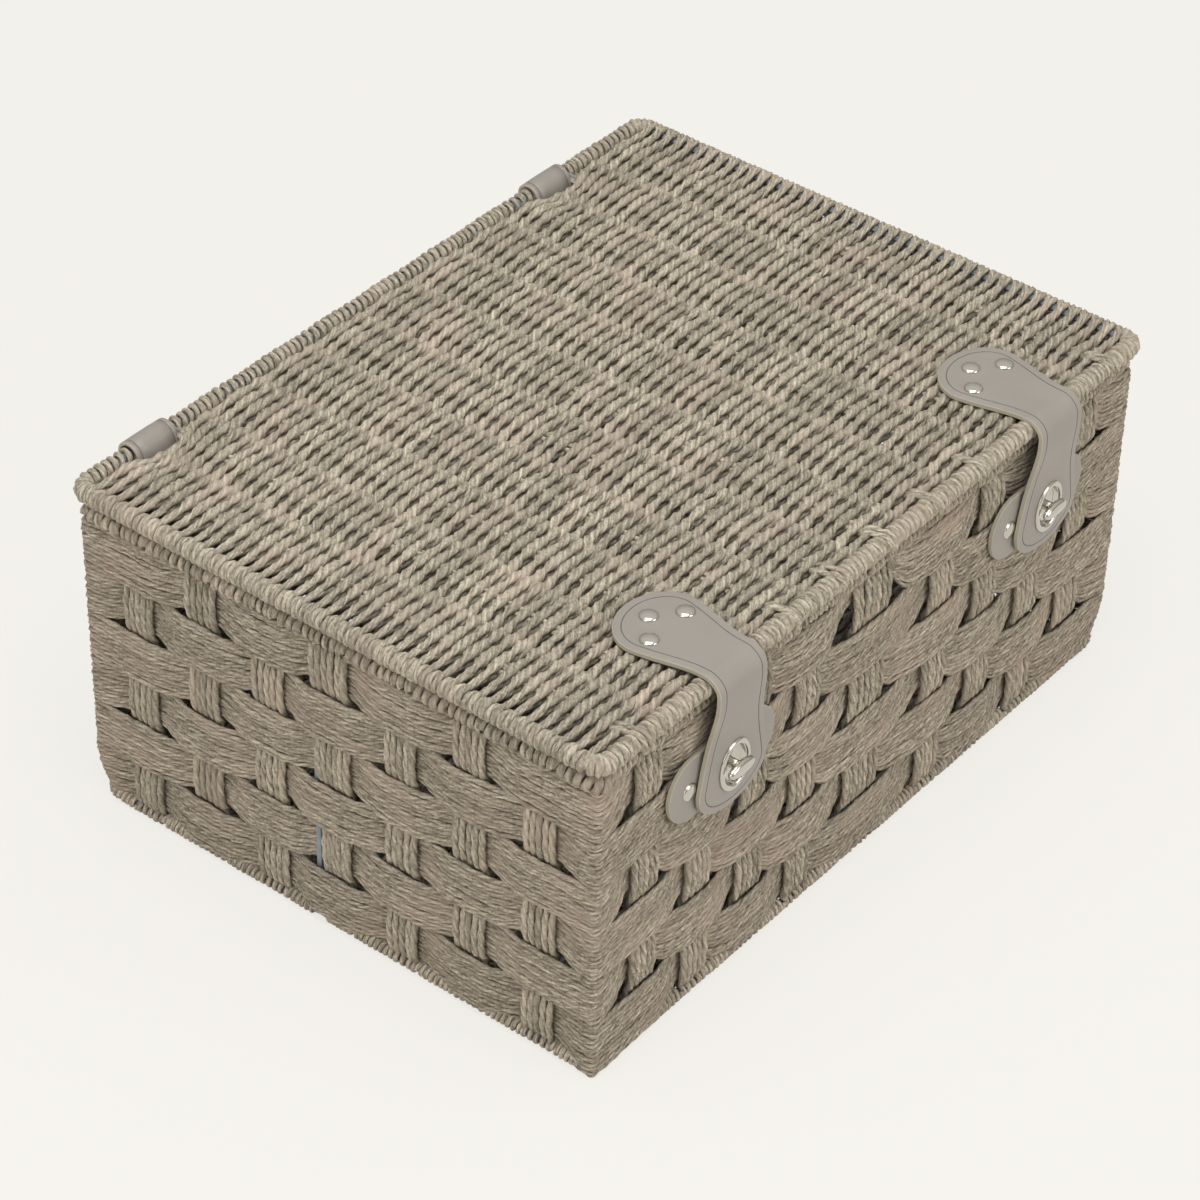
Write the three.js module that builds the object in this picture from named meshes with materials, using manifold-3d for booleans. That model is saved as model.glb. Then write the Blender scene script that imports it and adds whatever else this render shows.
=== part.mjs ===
// Hamper basket of paper rope woven on a welded wire frame, with a hinged lid and two clasp straps.
// Millimetres, +Z up. The origin is the middle of the floor's underside, +X runs along the front to the
// right, and -Y is the front with the clasps.
import * as THREE from "three";
import { mergeVertices } from "three/addons/utils/BufferGeometryUtils.js";
import Module from "manifold-3d";

const wasm = await Module();
wasm.setup();

// Overall sizes, over the weave.
const BASKET_LENGTH = 397;
const BASKET_DEPTH = 294;
const BASKET_HEIGHT = 170.5;
const LID_OVERHANG = 3.5;

// Gaps: between pieces that rest on each other, and round the rail that turns in the hinge loops.
const SEAT_GAP = 0.3;
const TURN_GAP = 0.35;

// How far a cutting tool reaches past the face that it cuts, and how close two points are to be one.
const CUT_OVERRUN = 1;
const WELD = 1e-4;

// Wire and rails.
const RING_WIRE_R = 2;
const LOW_WIRE_R = 1.6;
const POST_WIRE_R = 1.5;
const CROSS_WIRE_R = 1.5;
const RAIL_R = 4.5;
const LOW_RAIL_R = 2.8;
const FRAME_CORNER_R = 3;
const LID_CORNER_R = 6;
const BARE_CORNER = 3;
const RAIL_SIDES = 8;
const WIRE_SIDES = 6;
const CORNER_STEPS = 2;

// Wall weave: bands lie flat, stakes stand upright, both one rope thick.
const BAND_COUNT = 6;
const BAND_THICK = 3;
const STAKE_THICK = 3;
const STAKE_WIDTH = 20;
const STAKE_BULGE = 1.8;
const BAND_EASE = 1.5;
const FRONT_STAKES_EACH_SIDE = 4;
const END_STAKES_EACH_SIDE = 3;
const FRONT_FIRST_STAKE = 50;
const END_FIRST_STAKE = 38;
const FRONT_CORNER_GAP = 31.2;
const END_CORNER_GAP = 27.7;

// Lid and floor weave: ribs along X over wires that run front to back.
const LID_ROWS = 44;
const FLOOR_ROWS = 35;
const LID_RIB_DEPTH = 1.2;
const FLOOR_RIB_DEPTH = 0.55;
const RIB_FLAT = 0.45;
const LID_CROSS_WIRES = 11;
const LID_WIRE_INSET = 24.5;
const FLOOR_CROSS_WIRES = 5;
const FLOOR_WIRE_INSET = 57.7;

// Hinge loops on the back.
const LOOP_BAYS = [0, 8];
const LOOP_BAY_SHIFT = 2.2;
const LOOP_WIDTH = 25;
const LOOP_THICK = 1.6;

// Clasp straps.
const LEFT_CLASP_INSET = 88;
const RIGHT_CLASP_INSET = 79.5;
const STRAP_THICK = 2.4;
const STRAP_NECK = 32;
const STRAP_SLACK = 1.5;
const HEAD_WIDTH = 45;
const HEAD_ROUND = 19;
const HEAD_REACH = 53.5;
const HEAD_NECK = 5;
const FLAP_WIDTH = 47;
const FLAP_ROUND = 17;
const FLAP_DROP = 69;
const FLAP_NECK = 14;
const LOCK_INSET = 22.7;
const SHOULDER_ANGLE = Math.PI / 9;

// Lock in the strap's lower end.
const EYELET_WIDTH = 21;
const EYELET_HEIGHT = 27;
const EYELET_FLANGE = 1.2;
const EYELET_BARREL_INSET = 3;
const EYELET_LIP = 1.2;
const EYELET_FLOOR = 1;
const STEM_R = 2.4;
const STEM_GAP = 0.3;
const COLLAR_R = 4;
const COLLAR_THICK = 0.6;
const KNOB_LENGTH = 17;
const KNOB_WIDTH = 7.5;
const KNOB_THICK = 3;
const KNOB_STANDOFF = 2.2;

// Pad on the front wall behind the strap.
const PAD_WIDTH = 73;
const PAD_HEIGHT = 33;
const PAD_THICK = 2;
const PAD_LEFT = 3.5;
const PAD_RIVET_X = 23;
const KEEPER_WIDTH = 20;
const KEEPER_HEIGHT = 26;
const KEEPER_THICK = 1.2;
const KEEPER_SLOT_LENGTH = 15;
const KEEPER_SLOT_WIDTH = 6;

// Rivets.
const RIVET_R = 4.4;
const RIVET_DOME = 1.6;
const RIVET_SHANK_R = 1.5;
const RIVET_HOLE_R = 2;
const RIVET_BITE = 1.5;
const HEAD_RIVET_SPREAD = 12.3;
const HEAD_RIVET_STEP = 10;
const HEAD_RIVET_INSET = 12.5;

// Facets of rounds.
const ROUND_STEPS = 8;
const ARC_STEPS = 5;
const HOLE_STEPS = 4;
const RIVET_SIDES = 9;
const RIVET_RINGS = 2;

// Places worked out from the sizes above.
const bandSway = (BAND_THICK + STAKE_THICK) / 2 + SEAT_GAP;
const wallHalf = bandSway + BAND_THICK / 2;
const wallX = BASKET_LENGTH / 2 - wallHalf;
const wallY = BASKET_DEPTH / 2 - wallHalf;
const rimZ = BASKET_HEIGHT - RAIL_R;
const lowRailZ = LOW_RAIL_R;
const bandTop = rimZ - RAIL_R - TURN_GAP - LOOP_THICK - SEAT_GAP;
const bandBottom = 2 * LOW_RAIL_R + SEAT_GAP;
const bandPitch = (bandTop - bandBottom + SEAT_GAP) / BAND_COUNT;
const lidX = BASKET_LENGTH / 2 + LID_OVERHANG - RAIL_R;
const lidY = BASKET_DEPTH / 2 + LID_OVERHANG - RAIL_R;
const lidZ = BASKET_HEIGHT + SEAT_GAP + RAIL_R;
const lidTop = lidZ + RAIL_R;
const lidBottom = lidZ - RAIL_R;
const bendInner = RAIL_R + SEAT_GAP + STRAP_SLACK;
const bendZ = lidZ - STRAP_SLACK;
const flapInnerY = lidY + bendInner;
const flapOuterY = flapInnerY + STRAP_THICK;
const lockZ = bendZ - FLAP_DROP + LOCK_INSET;
const lidEnd = BASKET_LENGTH / 2 + LID_OVERHANG;
const claspX = { left: LEFT_CLASP_INSET - lidEnd, right: lidEnd - RIGHT_CLASP_INSET };
const padY = BASKET_DEPTH / 2 + SEAT_GAP;

// Finishes.
const paperRope = { color: 0x9d9486, roughness: 0.9, metalness: 0 };
const paintedWire = { color: 0x7d8790, roughness: 0.5, metalness: 0.3 };
const leather = { color: 0x9c9590, roughness: 0.6, metalness: 0 };
const nickel = { color: 0xd8d6d0, roughness: 0.15, metalness: 1 };

const hamper = new THREE.Group();

function place(name, geometry, finish) {
  const mesh = new THREE.Mesh(geometry, new THREE.MeshStandardMaterial(finish));
  mesh.name = name;
  hamper.add(mesh);
  return mesh;
}

// Solid bodies for joining and cutting.

function body(geometry) {
  const bare = geometry.clone();
  bare.deleteAttribute("normal");
  bare.deleteAttribute("uv");
  const merged = mergeVertices(bare, WELD);
  const vertProperties = new Float32Array(merged.attributes.position.array);
  const triVerts = new Uint32Array(merged.index.array);
  return new wasm.Manifold(new wasm.Mesh({ numProp: 3, vertProperties, triVerts }));
}

function geometryOf(manifold) {
  const mesh = manifold.getMesh();
  const geometry = new THREE.BufferGeometry();
  geometry.setAttribute("position", new THREE.BufferAttribute(new Float32Array(mesh.vertProperties), 3));
  geometry.setIndex(new THREE.BufferAttribute(new Uint32Array(mesh.triVerts), 1));
  geometry.computeVertexNormals();
  return geometry;
}

const joined = (solids) => solids.reduce((sum, solid) => sum.add(solid));
const cutBy = (solid, tools) => tools.reduce((rest, tool) => rest.subtract(tool), solid);

// A skin over a row of sections with equal counts of points, either a closed ring or a bar with flat ends.
function loft(sections, closed) {
  const count = sections[0].length;
  const positions = sections.flat().flatMap((point) => [point.x, point.y, point.z]);
  const index = [];
  const spans = closed ? sections.length : sections.length - 1;
  for (let i = 0; i < spans; i += 1) {
    const here = i * count;
    const next = ((i + 1) % sections.length) * count;
    for (let k = 0; k < count; k += 1) {
      const after = (k + 1) % count;
      index.push(here + k, here + after, next + after);
      index.push(here + k, next + after, next + k);
    }
  }
  if (!closed) {
    const last = (sections.length - 1) * count;
    for (let k = 1; k < count - 1; k += 1) {
      index.push(0, k + 1, k);
      index.push(last, last + k, last + k + 1);
    }
  }
  const geometry = new THREE.BufferGeometry();
  geometry.setAttribute("position", new THREE.Float32BufferAttribute(positions, 3));
  geometry.setIndex(index);
  geometry.computeVertexNormals();
  return geometry;
}

// Corners of a regular polygon with a flat side facing down.
function polygon(radius, sides) {
  return Array.from({ length: sides }, (_, k) => {
    const angle = (2 * Math.PI * (k + 0.5)) / sides - Math.PI / 2;
    return [radius * Math.cos(angle), radius * Math.sin(angle)];
  });
}

// A polygon whose flats lie on a circle, so that a round bar of that radius fits inside it.
const around = (radius, sides) => polygon(radius / Math.cos(Math.PI / sides), sides);

// A straight round bar from one point to another, along X, Y or Z.
function bar(from, to, section) {
  const along = to.clone().sub(from).normalize();
  const up = Math.abs(along.z) > 0.5 ? new THREE.Vector3(0, 1, 0) : new THREE.Vector3(0, 0, 1);
  const across = new THREE.Vector3().crossVectors(up, along);
  const ends = [from, to].map((end) =>
    section.map(([a, b]) => end.clone().addScaledVector(across, a).addScaledVector(up, b)),
  );
  return loft(ends, false);
}

// A round bar bent into a level rectangle with round corners.
function ringBar(halfX, halfY, z, cornerR, section) {
  const sections = [];
  const centres = [[1, -1], [1, 1], [-1, 1], [-1, -1]];
  centres.forEach(([sx, sy], corner) => {
    for (let i = 0; i <= CORNER_STEPS; i += 1) {
      const angle = (Math.PI / 2) * (corner - 1 + i / CORNER_STEPS);
      const out = new THREE.Vector3(Math.cos(angle), Math.sin(angle), 0);
      const centre = new THREE.Vector3(sx * (halfX - cornerR), sy * (halfY - cornerR), z);
      const rail = centre.addScaledVector(out, cornerR);
      sections.push(
        section.map(([a, b]) => rail.clone().addScaledVector(out, a).add(new THREE.Vector3(0, 0, b))),
      );
    }
  });
  return loft(sections.map((points) => points.reverse()), true);
}

// Wires that run front to back, spread evenly between the first and the last.
function wireOffsets(count, half) {
  return Array.from({ length: count }, (_, i) => half * ((2 * i) / (count - 1) - 1));
}

const lidWires = wireOffsets(LID_CROSS_WIRES, lidX - LID_WIRE_INSET);
const floorWires = wireOffsets(FLOOR_CROSS_WIRES, wallX - FLOOR_WIRE_INSET);

// A hinge loop sits in a bay between two wires.
const loopPlaces = LOOP_BAYS.map((bay) => (lidWires[bay] + lidWires[bay + 1]) / 2 + LOOP_BAY_SHIFT);

// The four walls, in the order in which a band passes them, seen from above against the clock.

function stakeRow(half, first, cornerGap, eachSide) {
  const last = half - cornerGap;
  const side = Array.from({ length: eachSide }, (_, i) => first + ((last - first) * i) / (eachSide - 1));
  return [...side.map((x) => -x).reverse(), 0, ...side];
}

const frontStakes = stakeRow(wallX, FRONT_FIRST_STAKE, FRONT_CORNER_GAP, FRONT_STAKES_EACH_SIDE);
const endStakes = stakeRow(wallY, END_FIRST_STAKE, END_CORNER_GAP, END_STAKES_EACH_SIDE);
const walls = [
  { name: "front", along: [1, 0], out: [0, -1], half: wallX, away: wallY, stakes: frontStakes },
  { name: "right", along: [0, 1], out: [1, 0], half: wallY, away: wallX, stakes: endStakes },
  { name: "back", along: [-1, 0], out: [0, 1], half: wallX, away: wallY, stakes: frontStakes },
  { name: "left", along: [0, -1], out: [-1, 0], half: wallY, away: wallX, stakes: endStakes },
];
let stakesBefore = 0;
for (const wall of walls) {
  wall.firstStake = stakesBefore;
  stakesBefore += wall.stakes.length;
}

function onWall(wall, along, out, z) {
  const x = wall.along[0] * along + wall.out[0] * (wall.away + out);
  const y = wall.along[1] * along + wall.out[1] * (wall.away + out);
  return new THREE.Vector3(x, y, z);
}

// Plain weave: a stake stands outside every second band, and its neighbours outside the others.
const stakeSide = (number, row) => ((number + row) % 2 === 0 ? 1 : -1);

// The middle post stands beside the middle stake, so the bands stay flat across both.
const postBeside = STAKE_WIDTH / 2 + SEAT_GAP + POST_WIRE_R;
const postFlat = postBeside + POST_WIRE_R + SEAT_GAP;
const flatHalf = (offset) => (offset === 0 ? postFlat : STAKE_WIDTH / 2 + BAND_EASE);

// One band: flat across each stake, sloping in between, and outside the corner posts.
function bandRing(row) {
  const top = bandTop - row * bandPitch;
  const bottom = top - bandPitch + SEAT_GAP;
  const sections = [];
  const strip = (inner, outer) => {
    sections.push([
      inner.clone().setZ(bottom),
      inner.clone().setZ(top),
      outer.clone().setZ(top),
      outer.clone().setZ(bottom),
    ]);
  };
  for (const wall of walls) {
    wall.stakes.forEach((offset, i) => {
      const sway = -stakeSide(wall.firstStake + i, row) * bandSway;
      for (const end of [-1, 1]) {
        const along = offset + end * flatHalf(offset);
        strip(onWall(wall, along, sway - BAND_THICK / 2, 0), onWall(wall, along, sway + BAND_THICK / 2, 0));
      }
    });
    for (let i = 0; i <= CORNER_STEPS; i += 1) {
      const angle = (Math.PI / 2) * (i / CORNER_STEPS);
      const bend = (radius) =>
        onWall(
          wall,
          wall.half - FRAME_CORNER_R + radius * Math.sin(angle),
          radius * Math.cos(angle) - FRAME_CORNER_R,
          0,
        );
      const middle = FRAME_CORNER_R + bandSway;
      strip(bend(middle - BAND_THICK / 2), bend(middle + BAND_THICK / 2));
    }
  }
  return loft(sections, true);
}

// One stake: upright between the rails, bulging over each band that passes behind it.
function stakeBar(wall, i, top) {
  const offset = wall.stakes[i];
  const heights = [[lowRailZ, 0]];
  for (let row = BAND_COUNT - 1; row >= 0; row -= 1) {
    const rowTop = bandTop - row * bandPitch;
    heights.push([rowTop - bandPitch / 2, stakeSide(wall.firstStake + i, row) * STAKE_BULGE]);
  }
  heights.push([top, 0]);
  const sections = heights.map(([z, bulge]) => [
    onWall(wall, offset - STAKE_WIDTH / 2, bulge - STAKE_THICK / 2, z),
    onWall(wall, offset - STAKE_WIDTH / 2, bulge + STAKE_THICK / 2, z),
    onWall(wall, offset + STAKE_WIDTH / 2, bulge + STAKE_THICK / 2, z),
    onWall(wall, offset + STAKE_WIDTH / 2, bulge - STAKE_THICK / 2, z),
  ]);
  return loft(sections, false);
}

// On the back, a stake behind a hinge loop ends under it.
function stakeTop(wall, offset) {
  const reach = (LOOP_WIDTH + STAKE_WIDTH) / 2 + SEAT_GAP;
  const underLoop = wall.name === "back" && loopPlaces.some((x) => Math.abs(-x - offset) < reach);
  return underLoop ? bandTop : rimZ;
}

// A wall's stakes with the rope that is bound round the rim and the low rail, open at the corners.
function stakeLadder(wall) {
  const railHalf = wall.half - RAIL_R - BARE_CORNER;
  const lowHalf = wall.half - LOW_RAIL_R - BARE_CORNER;
  const rail = (half, z, section) => body(bar(onWall(wall, -half, 0, z), onWall(wall, half, 0, z), section));
  const post = onWall(wall, -postBeside, 0, lowRailZ);
  const solids = wall.stakes.map((offset, i) => body(stakeBar(wall, i, stakeTop(wall, offset))));
  solids.push(rail(railHalf, rimZ, polygon(RAIL_R, RAIL_SIDES)));
  solids.push(rail(lowHalf, lowRailZ, around(LOW_RAIL_R, RAIL_SIDES)));
  const ways = [
    rail(wall.half, rimZ, around(RING_WIRE_R + SEAT_GAP, WIRE_SIDES)),
    rail(wall.half, lowRailZ, around(LOW_WIRE_R + SEAT_GAP, WIRE_SIDES)),
    body(bar(post, post.clone().setZ(rimZ), around(POST_WIRE_R + SEAT_GAP, WIRE_SIDES))),
  ];
  if (wall.half === wallX) {
    ways.push(...crossBars(floorWires, wallY, lowRailZ, around(CROSS_WIRE_R + SEAT_GAP, WIRE_SIDES)));
  }
  return geometryOf(cutBy(joined(solids), ways));
}

function crossBars(offsets, half, z, section) {
  return offsets.map((x) => {
    const front = new THREE.Vector3(x, -half, z);
    return body(bar(front, front.clone().setY(half), section));
  });
}

// The welded frame of the basket.
function baseFrame() {
  const corner = FRAME_CORNER_R + bandSway - BAND_THICK / 2 - SEAT_GAP - RING_WIRE_R;
  const cornerIn = FRAME_CORNER_R - corner * Math.SQRT1_2;
  const solids = [
    body(ringBar(wallX, wallY, rimZ, FRAME_CORNER_R, polygon(RING_WIRE_R, WIRE_SIDES))),
    body(ringBar(wallX, wallY, lowRailZ, FRAME_CORNER_R, polygon(LOW_WIRE_R, WIRE_SIDES))),
    ...crossBars(floorWires, wallY, lowRailZ, polygon(CROSS_WIRE_R, WIRE_SIDES)),
  ];
  for (const wall of walls) {
    const middle = onWall(wall, -postBeside, 0, lowRailZ);
    const corners = onWall(wall, wall.half - cornerIn, -cornerIn, lowRailZ);
    solids.push(body(bar(middle, middle.clone().setZ(rimZ), polygon(POST_WIRE_R, WIRE_SIDES))));
    solids.push(body(bar(corners, corners.clone().setZ(rimZ), polygon(RING_WIRE_R, WIRE_SIDES))));
  }
  return geometryOf(joined(solids));
}

// A woven panel: ribs along X with flat crowns, bored for its wires.
function wovenPanel(halfX, halfY, middleZ, thick, ribDepth, rows, wires) {
  const pitch = (2 * halfY) / rows;
  const crown = (pitch * RIB_FLAT) / 2;
  const upper = [];
  for (let row = 0; row < rows; row += 1) {
    const y = -halfY + (row + 0.5) * pitch;
    upper.push([y - pitch / 2, thick / 2 - ribDepth]);
    upper.push([y - crown, thick / 2]);
    upper.push([y + crown, thick / 2]);
  }
  upper.push([halfY, thick / 2 - ribDepth]);
  const outline = [...upper, ...upper.map(([y, z]) => [y, -z]).reverse()];
  const profile = new THREE.Shape(outline.map(([y, z]) => new THREE.Vector2(y, z)));
  const slab = new THREE.ExtrudeGeometry(profile, { depth: 2 * halfX, bevelEnabled: false });
  slab.rotateX(Math.PI / 2);
  slab.rotateZ(Math.PI / 2);
  slab.translate(-halfX, 0, middleZ);
  const bores = crossBars(wires, halfY + RAIL_R, middleZ, around(CROSS_WIRE_R + SEAT_GAP, WIRE_SIDES));
  return cutBy(body(slab), bores);
}

function floorWeave() {
  const halfX = wallX - LOW_RAIL_R - SEAT_GAP;
  const halfY = wallY - LOW_RAIL_R - SEAT_GAP;
  const thick = 2 * LOW_RAIL_R;
  return geometryOf(wovenPanel(halfX, halfY, lowRailZ, thick, FLOOR_RIB_DEPTH, FLOOR_ROWS, floorWires));
}

// Rivet places on a strap's head: one towards the back, two nearer the front.
const headTipY = -(lidY - HEAD_REACH);
function headRivets(x) {
  const backY = headTipY - HEAD_RIVET_INSET;
  return [
    [x, backY],
    [x - HEAD_RIVET_SPREAD, backY - HEAD_RIVET_STEP],
    [x + HEAD_RIVET_SPREAD, backY - HEAD_RIVET_STEP],
  ];
}

function upright(x, y, low, high, section) {
  return body(bar(new THREE.Vector3(x, y, low), new THREE.Vector3(x, y, high), section));
}

function block(low, high) {
  const box = new THREE.BoxGeometry(high[0] - low[0], high[1] - low[1], high[2] - low[2]);
  box.translate((low[0] + high[0]) / 2, (low[1] + high[1]) / 2, (low[2] + high[2]) / 2);
  return body(box);
}

// The leather loop's section lies in a plane across the rails: two round ends joined by straight runs.
const loopInnerR = RAIL_R + TURN_GAP;
const loopOuterR = loopInnerR + LOOP_THICK;
const loopLean = Math.atan2(lidY - wallY, lidZ - rimZ);

function loopOutline(radius, shape) {
  shape.absarc(lidY, lidZ, radius, -loopLean, Math.PI - loopLean, false);
  shape.absarc(wallY, rimZ, radius, Math.PI - loopLean, 2 * Math.PI - loopLean, false);
  return shape;
}

function hingeLoop(x) {
  const band = loopOutline(loopOuterR, new THREE.Shape());
  band.holes.push(loopOutline(loopInnerR, new THREE.Path()));
  const cut = { depth: LOOP_WIDTH, bevelEnabled: false, curveSegments: ARC_STEPS };
  const loop = new THREE.ExtrudeGeometry(band, cut);
  loop.rotateX(Math.PI / 2);
  loop.rotateZ(Math.PI / 2);
  loop.translate(x - LOOP_WIDTH / 2, 0, 0);
  return loop;
}

// The lid: frame, rope bound round its ring, and the panel with room for the loops and rivets.
function lidFrame() {
  const ring = body(ringBar(lidX, lidY, lidZ, LID_CORNER_R, polygon(RING_WIRE_R, WIRE_SIDES)));
  return geometryOf(joined([ring, ...crossBars(lidWires, lidY, lidZ, polygon(CROSS_WIRE_R, WIRE_SIDES))]));
}

function lidBinding() {
  const wrap = body(ringBar(lidX, lidY, lidZ, LID_CORNER_R, polygon(RAIL_R, RAIL_SIDES)));
  const bore = body(ringBar(lidX, lidY, lidZ, LID_CORNER_R, around(RING_WIRE_R + SEAT_GAP, WIRE_SIDES)));
  const ways = crossBars(lidWires, lidY, lidZ, around(CROSS_WIRE_R + SEAT_GAP, WIRE_SIDES));
  return geometryOf(cutBy(wrap, [bore, ...ways]));
}

function lidWeave() {
  const halfX = lidX - RAIL_R - SEAT_GAP;
  const halfY = lidY - RAIL_R - SEAT_GAP;
  const panel = wovenPanel(halfX, halfY, lidZ, 2 * RAIL_R, LID_RIB_DEPTH, LID_ROWS, lidWires);
  const legDrop = loopOuterR * Math.sin(loopLean) + RAIL_R;
  const legReach = loopOuterR * Math.cos(loopLean) + legDrop * Math.tan(loopLean);
  const notchHalf = LOOP_WIDTH / 2 + TURN_GAP;
  const notches = loopPlaces.map((x) =>
    block(
      [x - notchHalf, lidY - legReach - TURN_GAP, lidBottom - CUT_OVERRUN],
      [x + notchHalf, halfY + CUT_OVERRUN, lidTop + CUT_OVERRUN],
    ),
  );
  const rivets = Object.values(claspX).flatMap(headRivets);
  const holeLow = lidTop - RIVET_BITE - SEAT_GAP;
  const holes = rivets.map(([x, y]) =>
    upright(x, y, holeLow, lidTop + CUT_OVERRUN, polygon(RIVET_HOLE_R, WIRE_SIDES)),
  );
  return geometryOf(cutBy(panel, [...notches, ...holes]));
}

// A strap's end: a straight neck that swells into a flat round.
function paddle(length, width, round, neckRun) {
  const neck = STRAP_NECK / 2;
  const half = width / 2;
  const centre = length - round;
  const meetX = half * Math.cos(SHOULDER_ANGLE);
  const meetY = centre - round * Math.sin(SHOULDER_ANGLE);
  const ease = (meetY - neckRun) / 2;
  const slope = (half * Math.tan(SHOULDER_ANGLE)) / round;
  const easeX = meetX - ease * slope;
  const easeY = meetY - ease;
  const outline = new THREE.Shape();
  outline.moveTo(neck, 0);
  outline.lineTo(neck, neckRun);
  outline.bezierCurveTo(neck, neckRun + ease, easeX, easeY, meetX, meetY);
  outline.absellipse(0, centre, half, round, -SHOULDER_ANGLE, Math.PI + SHOULDER_ANGLE, false, 0);
  outline.bezierCurveTo(-easeX, easeY, -neck, neckRun + ease, -neck, neckRun);
  outline.lineTo(-neck, 0);
  return outline;
}

const paddleCut = { depth: STRAP_THICK, bevelEnabled: false, curveSegments: ARC_STEPS };

// The part of the strap on the lid, with its bend round the lid's front rail.
function strapHead(x) {
  const outline = paddle(HEAD_REACH, HEAD_WIDTH, HEAD_ROUND, HEAD_NECK);
  const sheet = new THREE.ExtrudeGeometry(outline, paddleCut);
  sheet.translate(x, -lidY, lidTop + SEAT_GAP);
  const bendOuter = bendInner + STRAP_THICK;
  const across = (angle, back) => {
    const at = (side, radius) =>
      new THREE.Vector3(
        x + (side * STRAP_NECK) / 2,
        back - lidY - radius * Math.sin(angle),
        bendZ + radius * Math.cos(angle),
      );
    return [at(1, bendInner), at(1, bendOuter), at(-1, bendOuter), at(-1, bendInner)];
  };
  const sections = [across(0, HEAD_NECK / 2)];
  for (let i = 0; i <= ARC_STEPS; i += 1) {
    sections.push(across((Math.PI / 2) * (i / ARC_STEPS), 0));
  }
  const holes = headRivets(x).map(([rx, ry]) =>
    upright(rx, ry, lidTop, lidTop + 2 * STRAP_THICK, polygon(RIVET_HOLE_R, WIRE_SIDES)),
  );
  return geometryOf(cutBy(body(sheet).add(body(loft(sections, false))), holes));
}

function ellipse(width, height) {
  const oval = new THREE.Shape();
  oval.absellipse(0, 0, width / 2, height / 2, 0, 2 * Math.PI, false, 0);
  return oval;
}

// A flat piece that stands against the front: its outline is seen from the front, its back at y = -near.
function onFront(outline, x, z, near, thick, segments) {
  const cut = { depth: thick, bevelEnabled: false, curveSegments: segments };
  const sheet = new THREE.ExtrudeGeometry(outline, cut);
  sheet.rotateX(Math.PI / 2);
  sheet.translate(x, -near, z);
  return sheet;
}

// An oval slice at the lock's height.
function ovalSlice(width, height, x, near, thick) {
  return body(onFront(ellipse(width, height), x, lockZ, near, thick, ROUND_STEPS));
}

// The part of the strap that hangs down the front, with the hole for its eyelet.
const barrelWidth = EYELET_WIDTH - 2 * EYELET_BARREL_INSET;
const barrelHeight = EYELET_HEIGHT - 2 * EYELET_BARREL_INSET;

function strapFlap(x) {
  const outline = paddle(FLAP_DROP - SEAT_GAP, FLAP_WIDTH, FLAP_ROUND, FLAP_NECK);
  const sheet = new THREE.ExtrudeGeometry(outline, paddleCut);
  sheet.rotateX(-Math.PI / 2);
  sheet.translate(x, -flapOuterY, bendZ - SEAT_GAP);
  const room = ovalSlice(
    barrelWidth + 2 * SEAT_GAP,
    barrelHeight + 2 * SEAT_GAP,
    x,
    flapInnerY - CUT_OVERRUN,
    STRAP_THICK + 2 * CUT_OVERRUN,
  );
  return geometryOf(body(sheet).subtract(room));
}

// An oval eyelet: flange on the strap's face, barrel through the strap, and a floor that carries the stem.
function eyelet(x) {
  const flangeBack = flapOuterY + SEAT_GAP;
  const front = flangeBack + EYELET_FLANGE;
  const collarDeep = COLLAR_THICK + 2 * STEM_GAP;
  const floorFront = flapInnerY + collarDeep + EYELET_FLOOR;
  const pocketWidth = barrelWidth - 2 * EYELET_LIP;
  const pocketHeight = barrelHeight - 2 * EYELET_LIP;
  const stemRoom = 2 * (STEM_R + STEM_GAP);
  const collarRoom = 2 * (COLLAR_R + STEM_GAP);
  const deep = front - flapInnerY;
  const flange = ovalSlice(EYELET_WIDTH, EYELET_HEIGHT, x, flangeBack, EYELET_FLANGE);
  const barrel = ovalSlice(barrelWidth, barrelHeight, x, flapInnerY, deep - EYELET_FLANGE / 2);
  const cuts = [
    ovalSlice(pocketWidth, pocketHeight, x, floorFront, deep),
    ovalSlice(stemRoom, stemRoom, x, flapInnerY - CUT_OVERRUN, deep + 2 * CUT_OVERRUN),
    ovalSlice(collarRoom, collarRoom, x, flapInnerY - CUT_OVERRUN, collarDeep + CUT_OVERRUN),
  ];
  return geometryOf(cutBy(flange.add(barrel), cuts));
}

// The lock's knob: an oval bar on a stem, held behind the eyelet's floor by a collar.
function knob(x) {
  const back = flapInnerY + STEM_GAP;
  const front = flapOuterY + SEAT_GAP + EYELET_FLANGE + KNOB_STANDOFF;
  const head = ovalSlice(KNOB_LENGTH, KNOB_WIDTH, x, front, KNOB_THICK);
  const stem = ovalSlice(2 * STEM_R, 2 * STEM_R, x, back, front + KNOB_THICK / 2 - back);
  const collar = ovalSlice(2 * COLLAR_R, 2 * COLLAR_R, x, back, COLLAR_THICK);
  return geometryOf(joined([head, stem, collar]));
}

// The pad on the wall behind the strap, and the slotted plate on it.
function slotOutline() {
  const half = (KEEPER_SLOT_LENGTH - KEEPER_SLOT_WIDTH) / 2;
  const slot = new THREE.Shape();
  slot.absarc(0, half, KEEPER_SLOT_WIDTH / 2, 0, Math.PI, false);
  slot.absarc(0, -half, KEEPER_SLOT_WIDTH / 2, Math.PI, 2 * Math.PI, false);
  return slot;
}

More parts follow.
